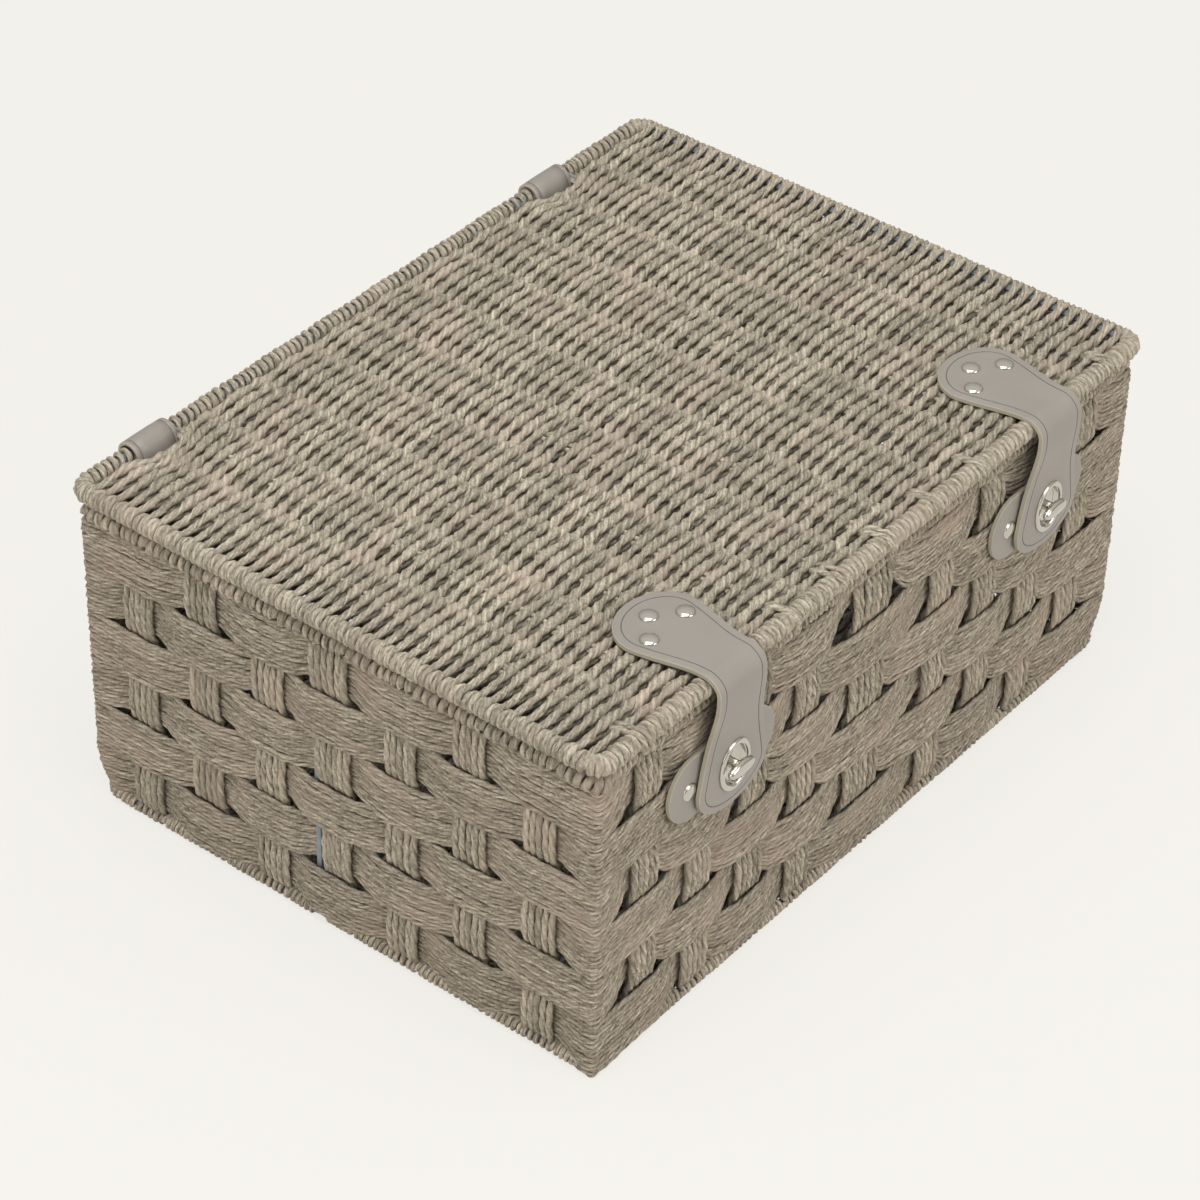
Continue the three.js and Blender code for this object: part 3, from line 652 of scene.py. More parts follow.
def band_ropes(row):
    """The ropes of one band."""
    low, high = band_spans[row]
    spacing = (high - low) / BAND_ROPES
    plan = []
    pull = []
    for wall in walls:
        end = wall["half"] + BAND_SWAY - CORNER_BEND
        along = np.linspace(-end, end, int(2 * end / BAND_STEP), endpoint=False)
        plan.append(on_wall(wall, along, band_sway(wall, row, along), 0.0))
        pull.append(band_pull(wall, row, along))
        angle = np.linspace(0, math.pi / 2, CORNER_STEPS, endpoint=False)
        bend_out = BAND_SWAY - CORNER_BEND * (1 - np.cos(angle))
        plan.append(on_wall(wall, end + CORNER_BEND * np.sin(angle), bend_out, 0.0))
        pull.append(np.zeros(CORNER_STEPS))
    plan = np.concatenate(plan)
    pull = np.concatenate(pull)
    below_loops = np.clip((plan[:, 1] - (WALL_Y - LOOP_ROOM)) / LOOP_ROOM, 0, 1)
    raised = TOP_REACH * (1 - below_loops) if row == 0 else 0.0
    corner = np.array([WALL_X, WALL_Y]) + BAND_SWAY
    from_corner = np.max(corner - np.abs(plan[:, :2]), axis=1)
    tucked = np.zeros(len(plan))
    lowered = 0.0
    if row == BAND_ROWS - 1:
        front_left = (plan[:, 0] < 0) & (plan[:, 1] < 0)
        tucked = TUCK * np.clip(1 - from_corner / TUCK_RUN, 0, 1) ** 2 * ~front_left
        near = np.clip(NEAR_HOLD - from_corner / NEAR_RUN, 0, 1)
        lowered = LOW_REACH + NEAR_DROP * near * front_left
    run = np.linspace(0, 2 * math.pi, len(plan), endpoint=False)
    ropes = []
    for i in range(BAND_ROPES):
        drop = (i + 0.5) * spacing
        path = plan.copy()
        turn = run * chance.randint(*LONG_WAVES) + chance.uniform(0, FULL_TURN)
        fine_turn = run * chance.randint(*SHORT_WAVES) + chance.uniform(0, FULL_TURN)
        waver = WAVER * np.sin(turn) + FINE_WAVER * np.sin(fine_turn)
        share = drop / (high - low)
        path[:, 2] = high - drop * (1 - pull) + raised * (1 - share) - lowered * share + waver
        path[:, :2] -= np.sign(path[:, :2]) * (tucked * share**2)[:, None]
        out = unit(plan * [1, 1, 0]) * WAVER * np.sin(run * chance.randint(*LONG_WAVES))[:, None]
        radius = spacing * BAND_FULL * chance.uniform(*BAND_SPREAD)
        lay = BAND_LAY * chance.uniform(*LAY_SPREAD)
        ropes.append(rope(path + out, (0, 0, 1), radius, lay, closed=True))
    return ropes


for row in range(BAND_ROWS):
    rope_piece(f"band_ropes_{row + 1}", band_ropes(row), wall_rope, "basket", [f"band_{row + 1}"])

# %% [markdown]
# ## Stakes
# A stake is five ropes side by side. It lies over each band that passes behind it and dips
# behind the next. At the top its ropes wrap over the rim, and at the bottom they wrap under the
# low rail. The middle stake of each wall has one or two ropes more and hides a wire post, which
# shows as a thin slit: near the top on the front, lower down on the ends. Between the stakes,
# rope is wound round the rim and the low rail.

# %% Stakes: sizes
STAKE_ROPES = 5
STAKE_LAY = 24 * MM
STAKE_STEP = 1.8 * MM
STAKE_FULL = 0.53
STAKE_SWELL = 0.45
STAKE_WAVE = 18 * MM
STAKE_LEAN = (0.9, 1.06)
STAKE_SPREAD = (0.94, 1.05)
POST_ROPES = np.array([5.2, 2.6]) * MM
POST_CLEAR = 2.9 * MM
POST_DRIFT = 2.6 * MM
END_POST_CLEAR = 0.3 * MM
END_POST_DRIFT = 8 * MM
RIM_DROP = 0.9 * MM


def rail(z, out, wire, rope_radius, bend):
    """A rail at a height, with its distance out, wire, rope and corner in millimetres."""
    sizes = {"out": out, "wire": wire, "rope": rope_radius, "bend": bend}
    return {"z": z} | {name: size * MM for name, size in sizes.items()}


FULL_RIM = rail(RIM_Z - RIM_DROP, 2.4, 1.0, 2.1, 3.2)
FRONT_RIM = rail(RIM_Z - RIM_DROP, 0.6, 1.2, 1.65, 3.2)
BACK_RIM = rail(RIM_Z, 0.0, 1.7, 1.4, 3.2)
LOW_RAIL = rail(3.75 * MM, 1.0, 0.9, 1.35, 9)
RIM_STAKE = 1.75 * MM
RIM_WRAP = np.radians(np.linspace(-20, 200, 12))
LOW_WRAP = np.radians(np.linspace(-150, 20, 9))
LOOP_PLACES = [middle(f"hinge_loop_{i}")[0] for i in (1, 2)]
LOOP_HALF = 12.5 * MM
print("rim at", round(RIM_Z / MM, 1), "mm")

# %% Stake ropes


def under_loop(wall, offset):
    """True for a stake of the back wall that ends under a hinge loop."""
    reach = LOOP_HALF + STAKE_WIDTH / 2
    return wall["name"] == "back" and any(abs(-x - offset) < reach for x in LOOP_PLACES)


def rim_of(wall):
    """The rim's winding: full on the ends, thin on the front, close inside the loops behind."""
    return {"front": FRONT_RIM, "back": BACK_RIM}.get(wall["name"], FULL_RIM)


def stake_profile(wall, i, lean):
    """Heights, distances out and radii of a stake's rope, from the low rail up to the rim."""
    number = wall["first"] + i
    full = STAKE_WIDTH / STAKE_ROPES * STAKE_FULL
    z = np.arange(BAND_BOTTOM, BAND_TOP, STAKE_STEP)
    place = (BAND_TOP - z) / ROW_PITCH
    row = np.clip(np.floor(place), 0, BAND_ROWS - 1).astype(int)
    side = np.array([stake_side(number, r) for r in row])
    swell = np.abs(np.sin(math.pi * place)) ** STAKE_SWELL
    out = np.where(side > 0, STAKE_SWAY_OUT, -STAKE_SWAY_IN) * swell * lean

    def wrapped(held_rail, angle, radius):
        """The part of the rope that wraps a rail."""
        wrap = held_rail["wire"] + held_rail["rope"]
        wrap_z = held_rail["z"] + wrap * np.sin(angle)
        return wrap_z, held_rail["out"] + wrap * np.cos(angle), np.full(len(angle), radius)

    parts = [wrapped(LOW_RAIL, LOW_WRAP, LOW_RAIL["rope"]), (z, out, np.full(len(z), full))]
    if not under_loop(wall, wall["stakes"][i]):
        parts.append(wrapped(rim_of(wall), RIM_WRAP, RIM_STAKE))
    return [np.concatenate(column) for column in zip(*parts)]


def rope_offsets(wall, i):
    """Where a stake's ropes stand at the rim, and how far they drift on the way down."""
    spacing = STAKE_WIDTH / STAKE_ROPES
    last = STAKE_WIDTH / 2 - spacing / 2
    offset = wall["stakes"][i]
    if offset == 0 and wall["name"] in ("front", "back"):
        over = np.linspace(POST_OFFSET + POST_CLEAR, last, STAKE_ROPES)
        drift = np.array([POST_DRIFT] * len(POST_ROPES) + [0.0] * STAKE_ROPES)
        return np.concatenate([POST_OFFSET - POST_ROPES, over]), drift
    if offset == 0:
        places = np.linspace(POST_OFFSET - END_POST_CLEAR, last, STAKE_ROPES + 1)
        return places, np.linspace(END_POST_DRIFT, 0, STAKE_ROPES + 1)
    from_middle = np.arange(STAKE_ROPES) - (STAKE_ROPES - 1) / 2
    return offset + from_middle * spacing, np.zeros(STAKE_ROPES)


def stake_ropes(wall):
    """All the stakes of a wall."""
    ropes = []
    for i in range(len(wall["stakes"])):
        for place, drift in zip(*rope_offsets(wall, i)):
            z, out, radius = stake_profile(wall, i, chance.uniform(*STAKE_LEAN))
            waver = WAVER * np.sin(z / STAKE_WAVE + chance.uniform(0, FULL_TURN))
            path = on_wall(wall, place + drift * (1 - z / RIM_Z) + waver, out, z)
            side = np.array([*wall["along"], 0.0])
            lay = STAKE_LAY * chance.uniform(*LAY_SPREAD)
            ropes.append(rope(path, side, radius * chance.uniform(*STAKE_SPREAD), lay))
    return ropes


print("stakes:", stakes_before)

# %% Rail windings
COIL_PITCH = 2.1
COIL_STEPS = 14
CORNER_COIL_STEPS = 44
COIL_LOOSE = 0.5
UNEVEN_WAVES = (11 * MM, 4.7 * MM, 6.1 * MM)
QUICK_SHARE = 0.6
SWELL_SHARE = 0.1


def winding(points, outs, z, wrap, thick, pitch, loose=0.0, tint=None):
    """Rope wound round a rail, from points along it in plan and their outward directions."""
    outline = points + outs * wrap
    steps = np.linalg.norm(np.diff(outline, axis=0), axis=1)
    run = np.concatenate([[0], np.cumsum(steps)])
    slow, quick, swell = (np.sin(run / wave) for wave in UNEVEN_WAVES)
    angle = 2 * math.pi * run / pitch + loose * (slow + QUICK_SHARE * quick)
    thick = thick * (1 + SWELL_SHARE * loose * swell)
    flat = points + outs * wrap * np.cos(angle)[:, None]
    line = np.column_stack([flat, z + wrap * np.sin(angle)])
    heading = np.column_stack([-outs[:, 1], outs[:, 0], np.zeros(len(outs))])
    return rope(line, heading, thick, STAKE_LAY, tint=tint)


def rail_coils(wall, held):
    """Windings on a rail of a wall: between the stakes, and round the corner at its end."""
    coils = []
    pitch = COIL_PITCH * held["rope"]
    wrap = held["wire"] + held["rope"]
    end = wall["half"] + held["out"] - held["bend"]
    shown = [i for i, s in enumerate(wall["stakes"]) if held is LOW_RAIL or not under_loop(wall, s)]
    starts = [-end] + [stake_span(wall, i)[1] for i in shown]
    ends = [stake_span(wall, i)[0] for i in shown] + [end]
    out = np.array(wall["out"], float)
    for start, stop in zip(starts, ends):
        along = np.linspace(start, stop, max(int((stop - start) / (pitch / COIL_STEPS)), 2))
        points = on_wall(wall, along, held["out"], held["z"])[:, :2]
        outs = np.broadcast_to(out, points.shape)
        coils.append(winding(points, outs, held["z"], wrap, held["rope"], pitch, COIL_LOOSE))
    angle = np.linspace(0, math.pi / 2, CORNER_COIL_STEPS)[:, None]
    bend = np.cos(angle) * out + np.sin(angle) * np.array(wall["along"], float)
    centre = on_wall(wall, end, held["out"] - held["bend"], held["z"])[:2]
    points = centre + held["bend"] * bend
    coils.append(winding(points, bend, held["z"], wrap, held["rope"], pitch))
    return coils


for wall in walls:
    ropes = stake_ropes(wall) + rail_coils(wall, rim_of(wall)) + rail_coils(wall, LOW_RAIL)
    name = wall["name"]
    rope_piece(f"{name}_stake_ropes", ropes, stake_rope, "basket", [f"{name}_stakes"])

# %% [markdown]
# ## Twined panels
# The lid and the floor are twined: each row is a pair of ropes that change places between the
# stakes, one over a stake and one under it. A flat rib would miss the small dark slots beside
# each stake, so both ropes of every row are made. A low power keeps a rope high over its stake
# for longer, and a high one makes the two cross in a short run. On the lid the rows go on over
# the side rails and are wound round them.

# %% Twining
TWINE_PITCH = 34.6 * MM
TWINE_LAY = 20 * MM
TWINE_STEP = 1.8 * MM
TWINE_WAVE = 17 * MM
HOLD_POWER = 0.5
CROSS_POWER = 9
PANEL_STAKES = 11
PANEL_STEP = 3 * MM
STAKE_APART = 1.7
STAKE_BOW = 0.4 * MM
STAKE_BOW_WAVE = 23 * MM
MIDDLE_RAISED = 0.9 * MM
RING_WIRE = 2 * MM
WRAP_R = 3.2 * MM
WRAP_ROPE = 1.85 * MM
ring_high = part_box("lid_frame")[1]
RING_X = ring_high.x - RING_WIRE
RING_Y = ring_high.y - RING_WIRE
weave_low, weave_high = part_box("lid_weave")
LID_Z = (weave_low.z + weave_high.z) / 2


def twined_path(y, turn, half, middle_z, lift, spread, step):
    """One rope of a row: over a stake, across, under the next stake, and across again."""
    x = np.arange(-half, half, step)
    phase = math.pi * x / TWINE_PITCH + turn
    rise, cross = np.cos(phase), np.sin(phase)
    waver = WAVER * np.sin(x / TWINE_WAVE + chance.uniform(0, FULL_TURN))
    path_y = y + spread * cross * np.abs(cross) ** CROSS_POWER + waver
    path_z = middle_z + lift * np.sign(rise) * np.abs(rise) ** HOLD_POWER
    return np.stack([x, path_y, path_z], -1)


def panel_stake_x(i):
    """Where a panel's stake lies along the front."""
    return (i - PANEL_STAKES // 2) * TWINE_PITCH


def panel_stakes(half_y, middle_z, radius, bare=()):
    """Three ropes from front to back at each stake, or two with the wire bare between them."""
    ropes = []
    y = np.linspace(-half_y, half_y, int(2 * half_y / PANEL_STEP))
    for i in range(PANEL_STAKES):
        for j in (-1, 1) if i in bare else (-1, 0, 1):
            bow = STAKE_BOW * np.sin(y / STAKE_BOW_WAVE + i)
            x = panel_stake_x(i) + j * STAKE_APART * radius + bow
            z = np.full(len(y), middle_z + MIDDLE_RAISED * (j == 0))
            ropes.append(rope(np.stack([x, y, z], -1), (0, 0, 1), radius, TWINE_LAY))
    return ropes


print("lid ring at", round(RING_X / MM, 1), "and", round(RING_Y / MM, 1), "mm")

# %% Woven floor
FLOOR_ROWS = 40
FLOOR_STEP = 2.2 * MM
FLOOR_ROPE = 1.75 * MM
FLOOR_STAKE = 0.9 * MM
FLOOR_LIFT = 1.0 * MM
floor_low, floor_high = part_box("floor_weave")
floor_pitch = (floor_high.y - floor_low.y) / FLOOR_ROWS
floor_ropes = panel_stakes(floor_high.y, LOW_Z, FLOOR_STAKE)
for row in range(FLOOR_ROWS):
    for turn in (0, math.pi):
        y = floor_low.y + (row + 0.5) * floor_pitch
        line = twined_path(y, turn, floor_high.x, LOW_Z, FLOOR_LIFT, FLOOR_ROPE, FLOOR_STEP)
        floor_ropes.append(rope(line, (0, 1, 0), FLOOR_ROPE, TWINE_LAY))
half_way = len(floor_ropes) // 2
rope_piece("floor_ropes_front", floor_ropes[:half_way], wall_rope, "basket", ["floor_weave"])
rope_piece("floor_ropes_back", floor_ropes[half_way:], wall_rope, "basket", ["floor_weave"])

# %% Lid panel: sizes
LID_ROWS = 44
LID_PANELS = 4
LID_ROPE = 2.4 * MM
LID_LIFT = 2.0 * MM
LID_SPREAD = 0.9 * MM
LID_FULL = 1.17
LID_ROPE_SPREAD = (0.9, 1.1)
LID_SIDES = 8
SLOT_PINCH = 0.5
SLOT_POWER = 8
ROW_JITTER = 0.4 * MM
LID_STAKE = 1.55 * MM
BARE_STAKES = (9,)
EDGE_ROOM = 4 * MM
GATHER = 14 * MM
GATHER_HOLD = 2 * MM
GATHERED = 0.6 * MM
GATHERED_ROPE = 1.4 * MM
GATHERED_RISE = 1.4 * MM
WRAP_TURN = (128, -142)
WRAP_STEPS = 12
WRAP_PART = 0.18
WRAP_SLANT = 2.4 * MM
LOOP_PUSH = 5.5 * MM
LOOP_PUSH_FROM = 34 * MM
LOOP_PUSH_RUN = 31 * MM
LOOP_PUSH_HALF = 17 * MM
lid_pitch = (weave_high.y - weave_low.y) / LID_ROWS
row_half = RING_X - EDGE_ROOM
print("lid rows are", round(lid_pitch / MM, 2), "mm apart")

# %% Lid panel


def round_the_loops(x, y):
    """Rows near the back rail move forward where a hinge loop passes through them."""
    share = np.clip((y - (weave_high.y - LOOP_PUSH_FROM)) / LOOP_PUSH_RUN, 0, 1)
    push = sum(np.exp(-(((x - place) / LOOP_PUSH_HALF) ** 4)) for place in LOOP_PLACES)
    return -LOOP_PUSH * share**2 * push


def lid_rope_path(y, lane):
    """One rope of a lid row, gathered with its partner at the ends and wound round the rails."""
    turn = 0 if lane < 0 else math.pi
    line = twined_path(y, turn, row_half, LID_Z, LID_LIFT, LID_SPREAD, TWINE_STEP)
    into_gather = np.abs(line[:, 0]) - (row_half - GATHER)
    near = smooth(np.clip(into_gather / (GATHER - GATHER_HOLD), 0, 1))
    line[:, 1] += near * (y + lane * GATHERED - line[:, 1]) + round_the_loops(line[:, 0], y)
    line[:, 2] += near * (LID_Z + GATHERED_RISE - line[:, 2])
    share = np.linspace(0, 1, WRAP_STEPS)
    angle = np.radians(np.linspace(*WRAP_TURN, WRAP_STEPS))
    apart = np.clip(share / WRAP_PART, 0, 1)
    wrap_y = y + lane * (GATHERED + (lid_pitch / 4 - GATHERED) * apart) + WRAP_SLANT * share
    wrap_x = RING_X + WRAP_R * np.cos(angle)
    wrap_z = LID_Z + WRAP_R * np.sin(angle)
    right = np.stack([wrap_x, wrap_y, wrap_z], -1)
    left = np.stack([-wrap_x, wrap_y, wrap_z], -1)[::-1]
    ends = np.full(WRAP_STEPS, WRAP_ROPE)
    pinch = np.sin(2 * math.pi * line[:, 0] / TWINE_PITCH) ** SLOT_POWER
    full = LID_ROPE * (LID_FULL - SLOT_PINCH * pinch)
    radius = np.concatenate([ends, full + near * (GATHERED_ROPE - full), ends])
    return np.concatenate([left, line, right]), radius * chance.uniform(*LID_ROPE_SPREAD)


for panel in range(LID_PANELS):
    lid_ropes = []
    first_row, next_row = (p * LID_ROWS // LID_PANELS for p in (panel, panel + 1))
    for row in range(first_row, next_row):
        y = weave_low.y + (row + 0.5) * lid_pitch + chance.uniform(-1, 1) * ROW_JITTER
        for lane in (-1, 1):
            line, radius = lid_rope_path(y, lane)
            lay = TWINE_LAY * chance.uniform(*LAY_SPREAD)
            lid_ropes.append(rope(line, (0, 1, 0), radius, lay, sides=LID_SIDES))
    rope_piece(f"lid_rows_{panel + 1}", lid_ropes, lid_rope, "lid", ["lid_weave", "lid_binding"])
lid_stake_ropes = panel_stakes(weave_high.y, LID_Z, LID_STAKE, BARE_STAKES)
rope_piece("lid_stakes", lid_stake_ropes, lid_rope, "lid", ["lid_weave"])

# %% [markdown]
# ## The lid's front and back rails
# Rope is also wound round the front and back rails: tightly in front, loosely at the back where
# it has to turn in the loops. Separate hoops would be simpler, but a winding climbs as it goes,
# so each is one long helix that also takes in the corners. On the front, the ends of the lid's
# stakes come over the winding in pairs.

# %% Rail windings of the lid
LID_CORNER = 6 * MM
WIND_STEP = 0.25 * MM
WIND_R = RING_WIRE + 1.25 * MM
WIND_TINT = 0.6
FRONT_WINDING = {"pitch": 3.5 * MM, "thick": 1.95 * MM, "loose": 0.6}
BACK_WINDING = {"pitch": 4.0 * MM, "thick": 1.6 * MM, "loose": 1.3}
END_OVER = 4.5 * MM
END_TURN = np.radians(np.linspace(118, -125, 18))
END_RUN_IN = np.array([11, 8, 5]) * MM
END_RISE = np.array([2.6, 3.5, 4.0]) * MM
END_ROPE = 1.5 * MM
END_APART = 1.7 * MM
END_JITTER = (-1 * MM, 1 * MM)
END_SLANT = (1.5 * MM, 3 * MM)
STRAP_ROOM = 26 * MM
STRAP_PLACES = {side: middle(f"{side}_strap_head")[0] for side in ("left", "right")}


def ring_plan():
    """Points round the lid's ring, from the front right corner, and outward directions."""
    points, outs = [], []
    corners = [(1, -1), (1, 1), (-1, 1), (-1, -1)]
    for turn, ((sx, sy), half) in enumerate(zip(corners, [RING_Y, RING_X, RING_Y, RING_X])):
        centre = np.array([sx * (RING_X - LID_CORNER), sy * (RING_Y - LID_CORNER)])
        angle = np.arange(turn - 1, turn, WIND_STEP / (LID_CORNER * math.pi / 2)) * math.pi / 2
        out = np.stack([np.cos(angle), np.sin(angle)], -1)
        points.append(centre + out * LID_CORNER)
        outs.append(out)
        face = np.array([math.cos(turn * math.pi / 2), math.sin(turn * math.pi / 2)])
        along = np.arange(0, 2 * (half - LID_CORNER), WIND_STEP)
        points.append(centre + face * LID_CORNER + along[:, None] * [-face[1], face[0]])
        outs.append(np.broadcast_to(face, (len(along), 2)))
    return np.concatenate(points), np.concatenate(outs)


def rail_winding(front, pitch, thick, loose):
    """One helix round the front or back rail and its two corners."""
    points, outs = ring_plan()
    right_end = int((points[:, 0] > RING_X - MM).nonzero()[0].mean())
    points, outs = np.roll(points, -right_end, 0), np.roll(outs, -right_end, 0)
    limit = weave_high.y - MM
    kept = points[:, 1] < -limit if front else points[:, 1] > limit
    return winding(points[kept], outs[kept], LID_Z, WIND_R, thick, pitch, loose, WIND_TINT)


def stake_end(x, slant):
    """The end of a lid stake: up from the panel, over the front winding and under it."""
    y = np.concatenate([END_RUN_IN, -END_OVER * np.cos(END_TURN)]) - RING_Y
    z = np.concatenate([END_RISE, END_OVER * np.sin(END_TURN)]) + LID_Z
    return np.stack([x + slant * np.linspace(-1, 1, len(y)), y, z], -1)


edge_ropes = [rail_winding(True, **FRONT_WINDING), rail_winding(False, **BACK_WINDING)]
for x in map(panel_stake_x, range(PANEL_STAKES)):
    if any(abs(x - place) < STRAP_ROOM for place in STRAP_PLACES.values()):
        continue
    for beside in (-END_APART, END_APART):
        place = x + beside + chance.uniform(*END_JITTER)
        end = stake_end(place, chance.uniform(*END_SLANT))
        edge_ropes.append(rope(end, (1, 0, 0), END_ROPE, TWINE_LAY, sides=LID_SIDES))
rope_piece("lid_edge_winding", edge_ropes, lid_rope, "lid", ["lid_binding"])

# %% [markdown]
# ## Painted wire
# The frame is steel wire, welded and dipped in blue-grey paint. It shows only in slits: at the
# corners, beside the middle stakes and under the loose winding at the back. The CAD wires have
# the right place and size, so they stay, with a satin paint that is rubbed thin here and there.

# %% Painted wire material
RUB = 6 * MM
painted_wire, tree, output = new_material("Dipped_paint_on_steel_wire")
place = add(tree, "TexCoord", {})
rub = add(tree, "TexNoise", {"Scale": 1 / RUB, "Detail": 3.0}, {"Vector": place.outputs["Object"]})
paint = add(
    tree,
    "Mix",
    {"data_type": "RGBA", 6: linear("#717B81"), 7: linear("#929C9F")},
    {0: rub.outputs["Fac"]},
)
satin = add(tree, "MapRange", {"To Min": 0.35, "To Max": 0.6}, {"Value": rub.outputs["Fac"]})
paint_look = {"Base Color": paint.outputs[2], "Roughness": satin.outputs[0]}
paint_shader = add(tree, "BsdfPrincipled", {}, paint_look)
tree.links.new(paint_shader.outputs[0], output.inputs["Surface"])


def repaint(node, material):
    """Gives a CAD node another material."""
    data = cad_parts[node].data
    data.materials.clear()
    data.materials.append(material)


for node in ("base_frame", "lid_frame"):
    repaint(node, painted_wire)
print("wire nodes repainted")

# %% [markdown]
# ## Leather: the finish
# Straps, pads and loops are coated leather: smooth, warm grey, with a fine pressed grain that
# only shows as a soft sheen. Its cells are about 0.5 mm wide and are drawn 0.9 mm wide so that
# they show. The cut edge is left pale. On straps and loops a fine crease is pressed along the
# edge, darker than the face.

# %% Leather materials
GRAIN = 0.9 * MM
CLOUD = 22 * MM
SHEEN_SPREAD = 0.06


def leather(name, light, dark, rough):
    """Coated leather with a pressed grain and faint clouds of colour."""
    material, tree, output = new_material(name)
    spot = {"Vector": add(tree, "TexCoord", {}).outputs["Object"]}
    cloud = add(tree, "TexNoise", {"Scale": 1 / CLOUD, "Detail": 2.0}, spot)
    grain = add(tree, "TexVoronoi", {"Scale": 1 / GRAIN}, spot)
    face = add(
        tree,
        "Mix",
        {"data_type": "RGBA", 6: linear(dark), 7: linear(light)},
        {0: cloud.outputs["Fac"]},
    )
    sheen = add(
        tree,
        "MapRange",
        {"To Min": rough - SHEEN_SPREAD, "To Max": rough + SHEEN_SPREAD},
        {"Value": cloud.outputs["Fac"]},
    )
    bump = add(
        tree,
        "Bump",
        {"Strength": 0.12, "Distance": 0.1 * MM},
        {"Height": grain.outputs["Distance"]},
    )
    shader = add(
        tree,
        "BsdfPrincipled",
        {"IOR": 1.45},
        {"Base Color": face.outputs[2], "Roughness": sheen.outputs[0], "Normal": bump.outputs[0]},
    )
    tree.links.new(shader.outputs[0], output.inputs["Surface"])
    return material


strap_face = leather("Coated_leather_face", "#928C84", "#868079", 0.44)
strap_edge = leather("Cut_leather_edge", "#ABA493", "#9C9584", 0.8)
strap_crease = leather("Pressed_leather_crease", "#75706A", "#6A645E", 0.6)
leathers = [strap_face, strap_edge, strap_crease]
print("leather materials:", [m.name for m in leathers])

# %% [markdown]
# ## Leather: the shape
# A leather piece is cut from sheet with round corners, its edge is rubbed round, and a crease
# may be pressed beside it. The mesh follows that: rings step in from the outline for the edge,
# the face and the crease, and a grid fills the middle. Each ring has its distance in from the
# outline in millimetres, its height as a share of the thickness, and its finish. A function
# then lays the flat piece in its place, flat or round the rail.

# %% Leather edge
LEATHER_THICK = 2.4 * MM
FACE, EDGE, CREASE = 0, 1, 2
MIDDLE_COLUMNS = 8
OVERLAP = 3
SHARP_LEATHER = math.radians(30)
FACE_CROWN = 1.02
EDGE_RINGS = [(0.25, 0.0, EDGE), (0.0, 0.1, EDGE), (0.0, 0.86, EDGE), (0.3, 0.97, FACE)]
EDGE_RINGS += [(0.9, 1.0, FACE)]
CREASE_RINGS = [(3.6, 1.0, CREASE), (3.75, 0.88, CREASE), (3.95, 0.88, CREASE), (4.1, 1.0, FACE)]
CREASE_RINGS += [(5.5, FACE_CROWN, FACE)]


def finish_mesh(mesh):
    """Faces that all point outwards."""
    shell = bmesh.new()
    shell.from_mesh(mesh)
    bmesh.ops.recalc_face_normals(shell, faces=shell.faces)
    shell.to_mesh(mesh)
    shell.free()
    return mesh


def inset_side(side, distance):
    """The right-hand outline moved in by a distance, kept on the middle line at its tips."""
    mirrored = (side * [-1, 1])[::-1]
    full = np.concatenate([mirrored[-1 - OVERLAP : -1], side, mirrored[1 : 1 + OVERLAP]])
    tangent = unit(np.gradient(full, axis=0))[OVERLAP:-OVERLAP]
    inward = np.stack([-tangent[:, 1], tangent[:, 0]], -1)
    moved = side + inward * distance
    moved[0, 0] = moved[-1, 0] = 0.0
    return moved


print("leather rings:", len(EDGE_RINGS), "for the edge and", len(CREASE_RINGS), "for the crease")

# %% Leather builder


def leather_mesh(name, side, thick, lay_out, crease=True):
    """A leather piece from the right half of its outline, tip to tip, placed by lay_out."""
    rings = EDGE_RINGS + (CREASE_RINGS if crease else [])
    points = []
    sides = []
    for inset, height, _ in rings:
        right = inset_side(side, inset * MM)
        left = (right * [-1, 1])[1:-1][::-1]
        loop = np.concatenate([right, left])
        points.append(np.column_stack([loop, np.full(len(loop), height * thick)]))
        sides.append(right)
    size = len(points[0])
    quads = [ring_quads(len(rings), size)]
    kinds = [np.full(size, kind) for _, _, kind in rings[:-1]]
    total = size * len(rings)
    last = len(side) - 1

    def fill(ring, height, upward):
        """A grid between the left and right halves of a ring."""
        nonlocal total
        base = ring * size
        columns = [base + np.arange(last + 1)]
        for c in range(1, MIDDLE_COLUMNS):
            share = 1 - 2 * c / MIDDLE_COLUMNS
            inner = sides[ring][1:-1] * [share, 1]
            points.append(np.column_stack([inner, np.full(len(inner), height * thick)]))
            columns.append(np.concatenate([[base], total + np.arange(last - 1), [base + last]]))
            total += last - 1
        columns.append(base + (size - np.arange(last + 1)) % size)
        for a, b in zip(columns[:-1], columns[1:]):
            strip = np.stack([a[:-1], a[1:], b[1:], b[:-1]], -1)
            quads.append(strip if upward else strip[:, ::-1])
            kinds.append(np.full(last, FACE))

    fill(len(rings) - 1, rings[-1][1], True)
    fill(0, 0.0, False)
    flat = np.concatenate(points)
    placed = lay_out(flat[:, 0], flat[:, 1], flat[:, 2])
    faces = [list(dict.fromkeys(q)) for q in np.concatenate(quads).tolist()]
    mesh = bpy.data.meshes.new(name)
    mesh.from_pydata(placed.tolist(), [], faces)
    for material in leathers:
        mesh.materials.append(material)
    mesh.polygons.foreach_set("material_index", np.concatenate(kinds).astype(np.int32))
    mesh.shade_smooth()
    mesh.set_sharp_from_angle(angle=SHARP_LEATHER)
    return finish_mesh(mesh)


print("strap leather:", round(LEATHER_THICK / MM, 1), "mm thick")

# %% [markdown]
# ## Clasp straps
# Each strap is one piece of leather: a round head riveted to the lid, a neck that bends over
# the front rail and a round flap with the lock. The CAD part splits it at the bend, but leather
# bends in one piece, so the mesh is whole and turns smoothly between the lid and the flap.

